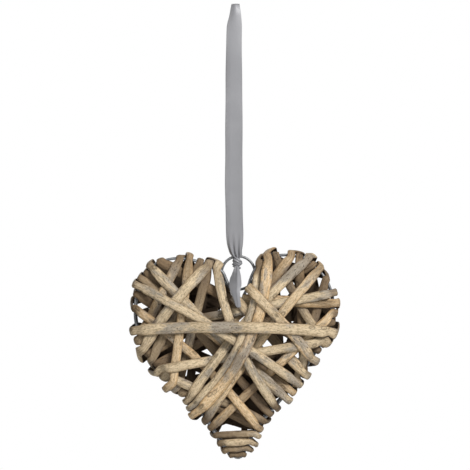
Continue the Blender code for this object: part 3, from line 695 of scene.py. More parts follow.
samples = sample_strips(strips)
print("samples along the strips:", len(samples["strip"]))

# %% [markdown]
# Then the stack settles. Every section has a height above the bare wire. Neighbouring sections
# pull each other straight, crossing strips push each other apart, and the wire is a floor.

# %% Settling the stack
EDGE_BAND = 3.0
PRESSING_ROUNDS = 300
LIFTING_ROUNDS = 160
LEAST_LIFTING_ROUNDS = 100
EASING = 0.3
INWARD_SLOPE = 0.3
LEAST_SAG = 0.4
OUTLINE_STRIDE = 4


def settle_heights(strips, samples):
    """Height of every section above the bare winding surface, with each strip clear of those
    it crosses: first the strips press on each other, then the upper ones are lifted clear."""
    upper, lower = find_contacts(samples)
    section = np.array(samples["section"])
    share = np.array(samples["share"])
    total = sum(len(strip.rails) for strip in strips)
    edge = np.concatenate([strip.on_edge for strip in strips])
    points = np.array(samples["points"])
    flat_points = points[:, :, [0, 2]].reshape(-1, 2)
    nearest = np.full(len(flat_points), 1e9)
    for place in OUTLINE[::OUTLINE_STRIDE]:
        nearest = np.minimum(nearest, np.hypot(*(flat_points - place).T))
    nearest = nearest.reshape(len(points), -1).min(axis=1)
    floor = -np.clip(INWARD_SLOPE * (nearest - EDGE_BAND - WIRE_RADIUS), 0.0, LONGEST_INWARD_BOW)
    need = STRIP_THICKNESS + LAYER_GAP
    first_weight, second_weight = 1 - share, share
    norm = first_weight ** 2 + second_weight ** 2
    heights = np.zeros(total)
    starts = np.cumsum([0] + [len(strip.rails) for strip in strips])
    inner = np.ones(total, bool)
    inner[starts[:-1]] = False
    inner[starts[1:] - 1] = False
    inner_index = np.nonzero(inner)[0]
    centres = np.concatenate([[(left + right) / 2 for left, right, _, _ in strip.rails]
                              for strip in strips])
    step = np.linalg.norm(np.diff(centres, axis=0), axis=1)
    groups = []
    index = 0
    while index < total:
        if edge[index]:
            groups.append(np.arange(index, index + 3))
            index += 3
        else:
            index += 1
    groups = np.array(groups)

    def height_at(which):
        here, there = heights[section[which]], heights[section[which] + 1]
        return here * first_weight[which] + there * second_weight[which]

    def push(which, amount, sign):
        change = np.zeros(total)
        scale = amount / norm[which]
        np.maximum.at(change, section[which], scale * first_weight[which])
        np.maximum.at(change, section[which] + 1, scale * second_weight[which])
        heights[:] = heights + sign * change

    def smooth(strength, only_up):
        before, after = step[inner_index - 1], step[inner_index]
        middle = heights[inner_index - 1] * after + heights[inner_index + 1] * before
        pull = middle / (before + after) - heights[inner_index]
        if only_up:
            sagging = np.maximum(pull - LEAST_SAG * np.minimum(before, after), 0.0)
            pull = sagging * ~edge[inner_index]
        else:
            pull = np.where(edge[inner_index], -heights[inner_index], pull)
        heights[inner_index] += strength * pull

    def keep_on_wire():
        low = floor - height_at(everything)
        sunk = low > 0
        push(everything[sunk], low[sunk], 1)
        heights[groups] = np.maximum(heights[groups].max(axis=1), 0.0)[:, None]

    everything = np.arange(len(section))
    for cycle in range(PRESSING_ROUNDS):
        smooth(EASING * (1 - cycle / PRESSING_ROUNDS) ** 2, False)
        gap = need - (height_at(upper) - height_at(lower))
        clash = gap > 0
        push(upper[clash], EASING * gap[clash], 1)
        push(lower[clash], EASING * gap[clash], -1)
        keep_on_wire()
    for cycle in range(LIFTING_ROUNDS):
        smooth(EASING, True)
        gap = need - (height_at(upper) - height_at(lower))
        clash = gap > 0
        if cycle > LEAST_LIFTING_ROUNDS and not clash.any():
            break
        push(upper[clash], gap[clash], 1)
        keep_on_wire()
    for strip, start in zip(strips, starts):
        strip.heights = heights[start:start + len(strip.rails)]


settle_heights(strips, samples)
tallest = max(float(strip.heights.max()) for strip in strips)
print("highest strip stands %.1f mm above the wire" % tallest)

# %% [markdown]
# The sections are far apart, so a smooth curve is drawn through them. The curve must not swing
# out beyond its sections, or strips would cut into each other. A monotone cubic keeps between
# them: its slope at a section is the harmonic mean of the slopes on both sides.

# %% A smooth curve through the sections
FINE_STEP = 1.5
LEAST_STEP = 0.05
TINT_SEED = 20


def run_lengths(points):
    """Length from the first of the points to each of them."""
    return np.concatenate([[0.0], np.cumsum(np.linalg.norm(np.diff(points, axis=0), axis=1))])


def smooth_between(places, values, fine):
    """Monotone cubic through values at the given places, worked out at the fine places."""
    step = np.diff(places)[:, None]
    slope = np.diff(values, axis=0) / step
    before, after = slope[:-1], slope[1:]
    same = before * after > 0
    inner = np.where(same, 2 * before * after / np.where(same, before + after, 1.0), 0.0)
    tangent = np.vstack([slope[:1], inner, slope[-1:]])
    k = np.clip(np.searchsorted(places, fine, side="right") - 1, 0, len(places) - 2)
    t = ((fine - places[k]) / step[k, 0])[:, None]
    h = step[k]
    return ((2 * t ** 3 - 3 * t ** 2 + 1) * values[k] + (t ** 3 - 2 * t ** 2 + t) * h * tangent[k]
            + (3 * t ** 2 - 2 * t ** 3) * values[k + 1] + (t ** 3 - t ** 2) * h * tangent[k + 1])


def fine_guide(strip, chance):
    """Middle line of a strip with its half width, outward direction, length along, tint and
    height over the wires. Each crossing of the front has a tint of its own."""
    lefts, rights, outs = [], [], []
    tints = chance.random(strip.leg + 1)
    shown = [k for k, rail in enumerate(strip.rails) if rail[0][1] < HALF_DEPTH]
    for (left, right, left_normal, right_normal), height in zip(strip.rails, strip.heights):
        lefts.append(left + left_normal * height)
        rights.append(right + right_normal * height)
        outs.append((left_normal + right_normal) / np.linalg.norm(left_normal + right_normal))
    lefts, rights, outs = np.array(lefts), np.array(rights), np.array(outs)
    centres = (lefts + rights) / 2
    along = run_lengths(centres)
    keep = np.concatenate([[True], np.diff(along) > LEAST_STEP])
    fine = np.linspace(0.0, along[-1], int(along[-1] / FINE_STEP) + 1)
    left = smooth_between(along[keep], lefts[keep], fine)
    right = smooth_between(along[keep], rights[keep], fine)
    out = smooth_between(along[keep], outs[keep], fine)
    way = np.gradient((left + right) / 2, axis=0)
    way /= np.linalg.norm(way, axis=1)[:, None]
    out -= (out * way).sum(axis=1)[:, None] * way
    out /= np.linalg.norm(out, axis=1)[:, None]
    tint = np.interp(fine, along[shown], [tints[strip.legs[k]] for k in shown])
    lift = np.interp(fine, along, strip.heights)
    return (left + right) / 2, (right - left) / 2, out, fine, tint, lift


chance = np.random.default_rng(TINT_SEED)
guides = [fine_guide(strip, chance) for strip in strips]
print("fine sections:", sum(len(guide[0]) for guide in guides))

# %% [markdown]
# Geometry Nodes sweep the strip. The guide line carries its half width and its outward
# direction as attributes, and the profile carries its own two coordinates, so every point of
# the swept mesh can work out where it belongs. Noise that is long along the strip and short
# across it makes the ridges of bark and split wood, and slower noise makes the width wander.

# %% A small helper for building node trees
class Tree:
    """Adds nodes to a tree: a type, its settings first, then the values or links of sockets."""

    def __init__(self, tree):
        self.tree = tree

    def node(self, kind, settings=None, **inputs):
        made = self.tree.nodes.new(kind)
        for name, value in (settings or {}).items():
            setattr(made, name, value)
        for name, value in inputs.items():
            self.feed(made.inputs[int(name[1:]) if name[1:].isdigit() else name], value)
        return made

    def feed(self, socket, value):
        if isinstance(value, Value):
            value = value.socket
        if isinstance(value, bpy.types.NodeSocket):
            self.tree.links.new(value, socket)
        else:
            socket.default_value = value

    def value(self, kind, settings=None, output=0, **inputs):
        return Value(self, self.node(kind, settings, **inputs).outputs[output])

    def vector(self, x=0.0, y=0.0, z=0.0):
        return self.value("ShaderNodeCombineXYZ", X=x, Y=y, Z=z)

    def parts(self, vector):
        """The three numbers of a vector."""
        split = self.node("ShaderNodeSeparateXYZ", Vector=vector)
        return [Value(self, output) for output in split.outputs]

    def noise(self, place, detail, roughness, scale=1.0):
        return self.value("ShaderNodeTexNoise", {"noise_dimensions": "3D"}, Vector=place,
                          Scale=scale, Detail=detail, Roughness=roughness)


class Value:
    """A number or vector in a node tree that can be used in a Python expression."""

    def __init__(self, tree, socket):
        self.tree = tree
        self.socket = socket

    def maths(self, operation, *values):
        inputs = {"_%d" % k: value for k, value in enumerate(values)}
        return self.tree.value("ShaderNodeMath", {"operation": operation}, **inputs)

    def clipped(self, low, high):
        """Nought up to low, one from high, and a smooth step between them."""
        return self.tree.value("ShaderNodeMapRange", {"interpolation_type": "SMOOTHSTEP"},
                               Value=self, _1=low, _2=high)


def operator(operation, turned_round):
    if turned_round:
        return lambda self, other: self.maths(operation, other, self)
    return lambda self, other: self.maths(operation, self, other)


for sign, operation in (("add", "ADD"), ("sub", "SUBTRACT"), ("mul", "MULTIPLY"),
                        ("truediv", "DIVIDE"), ("pow", "POWER")):
    setattr(Value, "__%s__" % sign, operator(operation, False))
    setattr(Value, "__r%s__" % sign, operator(operation, True))
print("operators of a value:", sorted(name for name in vars(Value) if name.startswith("__r")))

# %% The node tree that sweeps a strip
PROFILE_POINTS = 30
PROFILE_POWER = 0.5
# waves of noise to a millimetre along the strip, and to its half width across
RIDGE_WAVES = (0.035, 2.6, 0.35)
LUMP_WAVES = (0.07, 0.6)
EDGE_WAVES = (0.05, 3.0)
MEANDER_WAVES = 0.022
TILT_WAVES = 0.03
# shares of the half width by which the edges and the middle wander, and millimetres of tilt
EDGE_WANDER = 0.36
MEANDER = 0.34
TILT = 0.9
RIDGES_BELOW = 0.25
LUMP_SEED, MEANDER_SEED, TILT_SEED = 7.0, 3.0, 5.0


def new_group(name, numbers):
    """Group that takes a guide line and the numbers named, and gives a shape."""
    group = bpy.data.node_groups.new(name, "GeometryNodeTree")
    group.interface.new_socket("Guide", in_out="INPUT", socket_type="NodeSocketGeometry")
    for number in numbers:
        group.interface.new_socket(number, in_out="INPUT", socket_type="NodeSocketFloat")
    group.interface.new_socket("Shape", in_out="OUTPUT", socket_type="NodeSocketGeometry")
    tree = Tree(group)
    return group, tree, tree.node("NodeGroupInput").outputs


def round_profile(tree, points, radius):
    return tree.node("GeometryNodeCurvePrimitiveCircle", {"mode": "RADIUS"}, Resolution=points,
                     Radius=radius)


def swept_along(tree, guide, profile):
    curve = tree.node("GeometryNodeMeshToCurve", Mesh=guide)
    return tree.node("GeometryNodeCurveToMesh", Curve=curve.outputs[0], _1=profile,
                     **{"Fill Caps": True}).outputs[0]


def end_group(tree, shape, surface):
    real = tree.node("GeometryNodeRealizeInstances", Geometry=shape)
    done = tree.node("GeometryNodeSetMaterial", Geometry=real.outputs[0], Material=surface)
    tree.node("NodeGroupOutput", Shape=done.outputs[0])


def stored(tree, geometry, name, value):
    """Geometry with a vector attribute stored on its points."""
    kind = {"data_type": "FLOAT_VECTOR", "domain": "POINT"}
    return tree.node("GeometryNodeStoreNamedAttribute", kind, Geometry=geometry, Name=name,
                     Value=value).outputs[0]


def scaled_onto(tree, way, amount, base):
    """Base moved along a vector by a number."""
    return tree.value("ShaderNodeVectorMath", {"operation": "MULTIPLY_ADD"}, _0=way,
                      _1=tree.vector(amount, amount, amount), _2=base)


def strip_tree(surface):
    group, tree, given = new_group("split_strip", ("Thickness", "Crown", "Ridges", "Seed"))
    thickness, crown, ridges, seed = (Value(tree, given[k]) for k in (1, 2, 3, 4))

    def named(name, kind="FLOAT_VECTOR"):
        return tree.value("GeometryNodeInputNamedAttribute", {"data_type": kind}, Name=name)

    # the profile: a circle whose points are moved on to a half round, flat underneath
    circle = round_profile(tree, PROFILE_POINTS, 1.0)
    turn = tree.value("GeometryNodeInputIndex") * (2 * math.pi / PROFILE_POINTS)
    wide = turn.maths("COSINE", turn)
    tall = turn.maths("SINE", turn)
    side = wide.maths("SIGN", wide)
    across = side * (wide * side) ** PROFILE_POWER
    up = (tall * tall.maths("SIGN", tall)) ** PROFILE_POWER * tall.maths("GREATER_THAN", tall, 0.0)
    profile = stored(tree, circle.outputs[0], "section", tree.vector(across, up))
    line = stored(tree, given[0], "middle", tree.value("GeometryNodeInputPosition"))
    swept = swept_along(tree, line, profile)

    u, v, _ = tree.parts(named("section"))
    along = named("along", "FLOAT")

    def wobble(detail, x, y, z):
        """Noise about nought, at a place on the strip."""
        return tree.noise(tree.vector(x, y, z), detail, 0.5) - 0.5

    ridge = wobble(3.0, along * RIDGE_WAVES[0], u * RIDGE_WAVES[1], seed + v * RIDGE_WAVES[2])
    lump = wobble(2.0, along * LUMP_WAVES[0], u * LUMP_WAVES[1], seed + LUMP_SEED)
    edge = wobble(2.0, along * EDGE_WAVES[0], seed, u.maths("SIGN", u) * EDGE_WAVES[1])
    meander = wobble(1.0, along * MEANDER_WAVES, seed + MEANDER_SEED, 0.0)
    tilt = wobble(1.0, along * TILT_WAVES, seed + TILT_SEED, 0.0)
    width = u * (1.0 + edge * EDGE_WANDER) + meander * MEANDER
    height = v * (thickness + (1.0 - u * u) * crown + tilt * u * TILT)
    height = height + (ridge + lump) * ridges * (RIDGES_BELOW + v * (1.0 - RIDGES_BELOW))
    place = scaled_onto(tree, named("half"), width, named("middle"))
    place = scaled_onto(tree, named("out"), height, place)
    placed = tree.node("GeometryNodeSetPosition", Geometry=swept, Position=place)
    bark = tree.vector(along, u * named("wide", "FLOAT"), v)
    end_group(tree, stored(tree, placed.outputs[0], "bark", bark), surface)
    return group


print("strip tree takes a guide line and gives a strip of", PROFILE_POINTS, "points round")

# %% [markdown]
# A guide line is a bare mesh of points joined by edges. What the tree needs to know about each
# point is stored as an attribute: the half width and outward direction of the strip there, how
# far along the strip it lies, and a tint that changes from one crossing to the next, because
# the real strips were cut from different rods and have weathered differently.

# %% Guide lines and swept strips
STRIP_BODY = 1.15
STRIP_CROWN = 0.8
RIDGE_HEIGHT = 0.8
FIRST_SEED = 3.0
SEED_STEP = 11.0


def placed_object(name, data):
    item = bpy.data.objects.new(name, data)
    bpy.context.scene.collection.objects.link(item)
    return item


def guide_line(name, guide):
    middle, half, out, along, tint, lift = guide
    mesh = bpy.data.meshes.new(name)
    count = len(middle)
    mesh.from_pydata((middle * METRES).tolist(), [(k, k + 1) for k in range(count - 1)], [])
    for label, values in (("half", half * METRES), ("out", out * METRES)):
        attribute = mesh.attributes.new(label, "FLOAT_VECTOR", "POINT")
        attribute.data.foreach_set("vector", np.asarray(values, dtype=np.float32).ravel())
    wide = np.linalg.norm(half, axis=1)
    for label, values in (("along", along), ("wide", wide), ("tint", tint), ("lift", lift)):
        attribute = mesh.attributes.new(label, "FLOAT", "POINT")
        attribute.data.foreach_set("value", np.asarray(values, dtype=np.float32))
    return placed_object(name, mesh)


def made_by_nodes(item, group, **sizes):
    """Run a node group on an object and keep the result as its own plain mesh."""
    modifier = item.modifiers.new("nodes", "NODES")
    modifier.node_group = group
    for socket in group.interface.items_tree:
        if socket.in_out == "INPUT" and socket.name in sizes:
            modifier[socket.identifier] = sizes[socket.name]
    graph = bpy.context.evaluated_depsgraph_get()
    mesh = bpy.data.meshes.new_from_object(item.evaluated_get(graph))
    item.modifiers.clear()
    item.data = mesh
    for polygon in mesh.polygons:
        polygon.use_smooth = True
    print(item.name, len(mesh.polygons), "faces")
    return item


# %% [markdown]
# Willow that has hung indoors for years is a dull straw brown. Along the grain it has fine
# streaks, here and there a grey bloom where the bark has weathered, and dark specks of old buds.
# Light and shade are painted in too: a paler crown down each strip is a painted highlight, the
# darker line along its edges is painted shade, strips that lie low in the stack are painted
# darker as shade, and the flat underside is painted near black as shade. The pattern is drawn
# in the strip's own coordinates, stored as the attribute "bark": millimetres along, millimetres
# across, and the height on the profile, so the grain follows every bend.

# %% Willow
def empty_material(name):
    surface = bpy.data.materials.new(name)
    surface.use_nodes = True
    surface.node_tree.nodes.clear()
    return surface, Tree(surface.node_tree)


def finished(tree, shader):
    tree.node("ShaderNodeOutputMaterial", Surface=shader.outputs[0])


def coated(tree, colour, *coats):
    """Colour under its coats. Each coat is how strongly it lies over the ones before it, from
    nought to one, and its own colour."""
    for share, paint in coats:
        colour = tree.value("ShaderNodeMix", {"data_type": "RGBA"}, output=2, _0=share, _6=colour,
                            _7=paint)
    return colour


def bumpy(tree, shader, strength, distance, height):
    bump = tree.node("ShaderNodeBump", Strength=strength, Distance=distance, Height=height)
    tree.feed(shader.inputs["Normal"], Value(tree, bump.outputs[0]))


def stretched(tree, place, x, y, z):
    return tree.value("ShaderNodeVectorMath", {"operation": "MULTIPLY"}, _0=place, _1=(x, y, z))


STRAW = (0.60, 0.455, 0.275, 1.0)
TAN = (0.70, 0.45, 0.215, 1.0)
PALE = (0.90, 0.745, 0.515, 1.0)
# dark brown of the streaks and mottle, also used as painted shade on low strips and on strip edges
BROWN_STREAK_AND_SHADE = (0.17, 0.11, 0.06, 1.0)
GREY_BLOOM = (0.335, 0.305, 0.265, 1.0)
# the split underside, darkened far below its own colour as painted shade
SPLIT_FACE_IN_PAINTED_SHADE = (0.07, 0.045, 0.026, 1.0)
DIRT = (0.04, 0.027, 0.018, 1.0)
# strips lower than this many millimetres above the wire are painted darker as shade
PAINTED_SHADE_BELOW = 6.0
WILLOW_FINISH = {"Roughness": 0.75, "Specular IOR Level": 0.3}
WILLOW_BUMP = (0.6, 0.0006)
# noise: waves to a millimetre along, across and up, then its detail and roughness
GRAIN = {
    "streak": ((0.05, 1.1, 0.6), 4.0, 0.65),
    "fine": ((0.14, 2.6, 1.0), 3.0, 0.65),
    "crack": ((0.022, 1.5, 0.4), 2.0, 0.5),
    "patch": ((0.032, 0.09, 0.15), 4.0, 0.6),
    "slow": ((0.015, 0.05, 0.05), 2.0, 0.5),
    "speck": ((0.5, 0.9, 1.0), 2.0, 0.55),
    "mottle": ((0.3, 0.75, 0.7), 3.0, 0.7),
}
BUD_WAVES = (0.075, 0.13, 0.2)
TINT_SHIFTS = (400.0, 31.0)


def willow():
    surface, tree = empty_material("willow_bark")
    bark = tree.value("ShaderNodeAttribute", {"attribute_name": "bark"}, output=1)
    tint, lift, wide = (tree.value("ShaderNodeAttribute", {"attribute_name": name}, output=2)
                        for name in ("tint", "lift", "wide"))
    _, sideways, height = tree.parts(bark)
    across = sideways / wide
    place = tree.value("ShaderNodeVectorMath", {"operation": "ADD"}, _0=bark,
                       _1=tree.vector(tint * TINT_SHIFTS[0], 0.0, tint * TINT_SHIFTS[1]))
    streak, fine, crack, patch, slow, speck, mottle = (
        tree.noise(stretched(tree, place, *waves), detail, roughness)
        for waves, detail, roughness in GRAIN.values())

    # old buds: a dark ring round a dark heart, in a few cells of a Voronoi pattern
    buds = tree.node("ShaderNodeTexVoronoi", {"feature": "F1"}, Scale=1.0,
                     Vector=stretched(tree, place, *BUD_WAVES))
    bud = Value(tree, buds.outputs["Distance"])
    rare = Value(tree, tree.node("ShaderNodeSeparateColor", Color=buds.outputs["Color"]).outputs[0])
    ring = bud.clipped(0.10, 0.16) - bud.clipped(0.19, 0.30)
    heart = 1.0 - bud.clipped(0.04, 0.10)
    bloom = (patch + slow * 0.2 + fine * 0.08 + tint * -0.06).clipped(0.60, 0.74)

    colour = coated(
        tree, STRAW,
        ((tint * 0.8 + slow * 0.7).clipped(0.5, 1.0), TAN),
        # painted highlight: the across part paints the crown of each strip paler, where light falls
        # on its rounded top; the fine part is pale grain
        (fine.clipped(0.50, 0.66) * 0.5 + (across * across).clipped(0.7, 0.0) * 0.3, PALE),
        (mottle.clipped(0.50, 0.62) * 0.4, PALE),
        (bloom * (0.45 + fine * 0.6), GREY_BLOOM),
        (streak.clipped(0.54, 0.72) * 0.42, BROWN_STREAK_AND_SHADE),
        (mottle.clipped(0.50, 0.36) * 0.45, BROWN_STREAK_AND_SHADE),
        # painted shade: strips that lie low in the stack, under the others, are painted darker
        (lift.clipped(PAINTED_SHADE_BELOW, 0.0) * 0.86, BROWN_STREAK_AND_SHADE),
        (crack.clipped(0.64, 0.70) * 0.5, DIRT),
        ((ring * 0.5 + heart * 0.35) * rare.clipped(0.46, 0.56), DIRT),
        (speck.clipped(0.61, 0.70) * (0.4 + bloom * 0.55), DIRT),
        # painted shade: the low sides of each strip, near its edges, are painted darker
        ((1.0 - height.clipped(0.30, 1.0)) * 0.85, BROWN_STREAK_AND_SHADE),
        # painted shade: the flat underside is painted near black, as the shade inside the heart
        ((1.0 - height.clipped(0.0, 0.3)) * 0.9, SPLIT_FACE_IN_PAINTED_SHADE))
    shader = tree.node("ShaderNodeBsdfPrincipled", _0=colour, **WILLOW_FINISH)
    relief = fine * 0.5 - streak.clipped(0.5, 0.7) * 0.7 - crack.clipped(0.60, 0.68) * 1.2 \
        - speck.clipped(0.6, 0.75) * 0.5
    bumpy(tree, shader, *WILLOW_BUMP, relief)
    finished(tree, shader)
    return surface


WILLOW = willow()
print("material", WILLOW.name)

# %% Sweep all the strips
def stands_for(piece, node):
    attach(piece, "root")
    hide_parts(node)


split_strip = strip_tree(WILLOW)
for number, (guide, node) in enumerate(zip(guides, STRIP_NODES)):
    piece = guide_line("willow_" + node, guide)
    piece = made_by_nodes(piece, split_strip, Thickness=STRIP_BODY, Crown=STRIP_CROWN,
                          Ridges=RIDGE_HEIGHT, Seed=SEED_STEP * number + FIRST_SEED)
    stands_for(piece, node)

# %% [markdown]
# The frame is bent from plain round wire, two hearts with short struts welded between them.
# A curve with a round profile is the plainest way to make wire, and the same small tree also
# makes the ring.

# %% Wire and ring
STRUT_STATIONS = (11.0, 24.0, 36.5, 50.0, 63.0, 76.0, 89.0)
RING_STRUT_STATIONS = (4.55, 95.35)
RING_OUTER_DIAMETER = 34.2
RING_WIRE_DIAMETER = 2.6
RING_CENTRE_Z = -255.5
WIRE_POINTS_ROUND = 14
WIRE_SAMPLE_STRIDE = 4
RING_POINTS = 96


def wire_tree(surface):
    group, tree, given = new_group("round_wire", ("Radius",))
    circle = round_profile(tree, WIRE_POINTS_ROUND, given[1])
    end_group(tree, swept_along(tree, given[0], circle.outputs[0]), surface)
    return group


ZINC_DARK = (0.20, 0.205, 0.21, 1.0)
ZINC_LIGHT = (0.38, 0.385, 0.39, 1.0)
ZINC_DULL = (0.22, 0.22, 0.225, 1.0)
# noise on the wire: detail, roughness and waves to a metre
ZINC_SPOTS, ZINC_PATCHES = (3.0, 0.6, 900.0), (2.0, 0.5, 120.0)
ZINC_BUMP = (0.3, 0.0002)


def galvanised():
    surface, tree = empty_material("galvanised_wire")
    place = tree.value("ShaderNodeTexCoord", output=3)
    spots, dull = tree.noise(place, *ZINC_SPOTS), tree.noise(place, *ZINC_PATCHES)
    colour = coated(tree, ZINC_DARK, (spots.clipped(0.35, 0.7), ZINC_LIGHT),
                    (dull.clipped(0.5, 0.7) * 0.6, ZINC_DULL))
    shader = tree.node("ShaderNodeBsdfPrincipled", _0=colour, Metallic=0.55,
                       Roughness=0.42 + spots * 0.2)
    bumpy(tree, shader, *ZINC_BUMP, spots)
    finished(tree, shader)
    return surface


def line_object(name, paths):
    """Bare guide lines, each a list of points in millimetres, closed or open."""
    corners, edges = [], []
    for path, closed in paths:
        start = len(corners)
        corners += [tuple(np.array(point) * METRES) for point in path]
        edges += [(start + k, start + k + 1) for k in range(len(path) - 1)]
        if closed:
            edges.append((start + len(path) - 1, start))
    mesh = bpy.data.meshes.new(name)
    mesh.from_pydata(corners, edges, [])
    return placed_object(name, mesh)


WIRE = galvanised()
round_wire = wire_tree(WIRE)
paths = [([in_space(point, side * HALF_DEPTH) for point in OUTLINE[::WIRE_SAMPLE_STRIDE]], True)
         for side in (-1, 1)]
for station in STRUT_STATIONS + RING_STRUT_STATIONS:
    foot = outline_at(station)[0]
    paths.append(([in_space(foot, HALF_DEPTH * t) for t in (-1.0, 0.0, 1.0)], False))
hearts = made_by_nodes(line_object("bent_wire_hearts", paths), round_wire,
                       Radius=WIRE_RADIUS * METRES)
radius = (RING_OUTER_DIAMETER - RING_WIRE_DIAMETER) / 2
turns = np.linspace(0.0, 2 * math.pi, RING_POINTS, endpoint=False)
circle = [(radius * math.sin(turn), 0.0, RING_CENTRE_Z + radius * math.cos(turn))
          for turn in turns]
ring = made_by_nodes(line_object("steel_ring", [(circle, True)]), round_wire,
                     Radius=RING_WIRE_DIAMETER / 2 * METRES)
stands_for(hearts, "wire_frame")
stands_for(ring, "hanging_ring")

# %% [markdown]
# The ribbon is satin, smooth on both faces, with a fine rib along each edge. One run hangs in
# front of the ring and one behind it. Towards the knot both are gathered, so the flat band
# breaks into soft folds.

# %% Satin
RIBBON_THICKNESS = 0.6
RIBBON_WIDTHS = ((0.0, 7.6, 0.0), (10.0, 10.6, -0.3), (23.0, 14.3, -1.4), (50.0, 15.1, -2.0),
                 (101.0, 16.2, -2.5), (141.0, 16.4, -3.0), (174.0, 16.6, -3.4), (205.0, 16.4, -3.2),
                 (216.0, 16.4, -3.0), (227.0, 15.2, -2.9), (233.9, 12.6, -2.6), (238.0, 10.8, -1.8),
                 (240.2, 7.8, -1.1), (242.2, 4.6, -0.9), (245.0, 4.2, -0.9))
RIBBON_DEPTHS = ((0.0, 0.0), (3.0, 1.6), (10.0, 3.2), (50.0, 4.0), (160.0, 4.4), (216.0, 4.4),
                 (232.0, 3.8), (240.0, 2.6), (245.0, 1.6))
KNOT_X = -0.8
KNOT_FOOT_DEPTH = 2.2
TAIL_SHAPE = ((249.0, 2.4, -1.6), (256.5, 4.1, -2.2), (261.0, 5.3, -2.9), (266.5, 5.8, -3.0),
              (272.0, 4.7, -2.9), (276.5, 3.8, -2.1), (281.0, 2.9, -1.2), (285.5, 2.5, -0.5),
              (287.5, 1.4, -0.3))
TAIL_STEP = 3.2
TAIL_CREASE = 1.4
TAIL_GAP = 0.6
TAIL_SLOPE = 1.3
TAIL_START_SLOPE = 0.3
SECOND_TAIL_END = 276.0
SATIN_DARK = (0.265, 0.265, 0.28, 1.0)
SATIN_LIGHT = (0.375, 0.375, 0.392, 1.0)
WEFT_SHADE = (0.195, 0.195, 0.207, 1.0)
EDGE_SHADE = (0.18, 0.18, 0.19, 1.0)
SATIN_FINISH = {"Sheen Weight": 0.25, "Sheen Roughness": 0.4, "Specular IOR Level": 0.6}
# threads: direction of the bands, then their scale and distortion
WEFT, WARP = ("Y", 3.2, 0.6), ("X", 2.4, 0.4)
CLOUD_WAVES = (0.15, 0.03, 1.0)
SATIN_BUMP = (0.25, 0.0001)


def satin():
    surface, tree = empty_material("grey_satin")
    place = tree.value("ShaderNodeUVMap", {"uv_map": "ribbon"})
    across = tree.parts(place)[0]
    weft, warp = (tree.value("ShaderNodeTexWave", {"wave_type": "BANDS", "bands_direction": way},
                             output=1, Vector=place, Scale=scale, Distortion=distortion, Detail=1.0)
                  for way, scale, distortion in (WEFT, WARP))
    cloud = tree.noise(stretched(tree, place, *CLOUD_WAVES), 3.0, 0.5)
    edge = (across * across).clipped(0.80, 0.93)
    colour = coated(tree, SATIN_DARK, (cloud, SATIN_LIGHT), (weft * 0.25, WEFT_SHADE),
                    (edge * 0.35, EDGE_SHADE))
    shader = tree.node("ShaderNodeBsdfPrincipled", _0=colour, Roughness=0.36 + weft * 0.12,
                       **SATIN_FINISH)
    bumpy(tree, shader, *SATIN_BUMP, weft * 0.6 + warp * 0.4)
    finished(tree, shader)
    return surface


SATIN = satin()
print("material", SATIN.name)

# %% [markdown]
# A ribbon is a thin sheet. It is made as a grid of points, one row for each place along it, and
# given its thickness along the grid's own normals. Where the ribbon is gathered it keeps its
# full woven width, so it has to run in folds: the narrower the gathering, the deeper the folds.

# %% Sheets and folds
SATIN_THICKNESS = 0.35
WOVEN_WIDTH = 16.4
ACROSS_POINTS = 41
STEEPEST_FOLD = 0.28
FOLDS = 3.0
NARROW = 8.0


def signed_volume(mesh):
    """Signed volume, negative where the faces look inwards."""
    shape = bmesh.new()
    shape.from_mesh(mesh)
    volume = shape.calc_volume(signed=True)
    shape.free()
    return volume


def sheet_piece(name, grid, closed=False):
    """Solid sheet from a grid of points in millimetres, with its own coordinates as a UV map."""
    grid = np.array(grid)
    if closed:
        loop = np.concatenate([grid[-1:], grid, grid[:1]])
        along = np.gradient(loop, axis=0)[1:-1]
    else:
        along = np.gradient(grid, axis=0)
    normal = np.cross(along, np.gradient(grid, axis=1))
    normal /= np.maximum(np.linalg.norm(normal, axis=2), 1e-9)[:, :, None]
    rows, columns = grid.shape[:2]
    corners = np.concatenate([(grid + normal * SATIN_THICKNESS / 2).reshape(-1, 3),
                              (grid - normal * SATIN_THICKNESS / 2).reshape(-1, 3)])
    back = rows * columns
    faces = []
    for row in range(rows if closed else rows - 1):
        onward = (row + 1) % rows
        for k in range(columns - 1):
            a, b = row * columns + k, row * columns + k + 1
            c, d = onward * columns + k + 1, onward * columns + k
            faces.append((a, b, c, d))
            faces.append((back + d, back + c, back + b, back + a))
        for k in (0, columns - 1):
            a, d = row * columns + k, onward * columns + k
            rim = (a, d, back + d, back + a)
            faces.append(rim if k == 0 else rim[::-1])
    if not closed:
        for row in (0, rows - 1):
            for k in range(columns - 1):
                a, b = row * columns + k, row * columns + k + 1
                rim = (a, back + a, back + b, b)
                faces.append(rim if row == 0 else rim[::-1])
    mesh = bpy.data.meshes.new(name)
    mesh.from_pydata((corners * METRES).tolist(), [], faces)
    length = run_lengths(grid.mean(axis=1))
    across = np.linspace(-1.0, 1.0, columns)
    own = np.array([(across[k % columns], length[k // columns % rows])
                    for k in range(len(corners))])
    layer = mesh.uv_layers.new(name="ribbon")
    index = np.zeros(len(mesh.loops), dtype=np.int32)
    mesh.loops.foreach_get("vertex_index", index)
    layer.data.foreach_set("uv", own[index].astype(np.float32).ravel())
    mesh.polygons.foreach_set("use_smooth", [True] * len(mesh.polygons))
    mesh.materials.append(SATIN)
    mesh.validate()
    if signed_volume(mesh) < 0:
        mesh.flip_normals()
    print(name, len(mesh.polygons), "faces")
    return placed_object(name, mesh)


def read_table(rows, downs):
    """Rows of a table that starts with the distance down, smoothly between, at other distances."""
    rows = np.array(rows)
    return smooth_between(rows[:, 0], rows[:, 1:], downs)


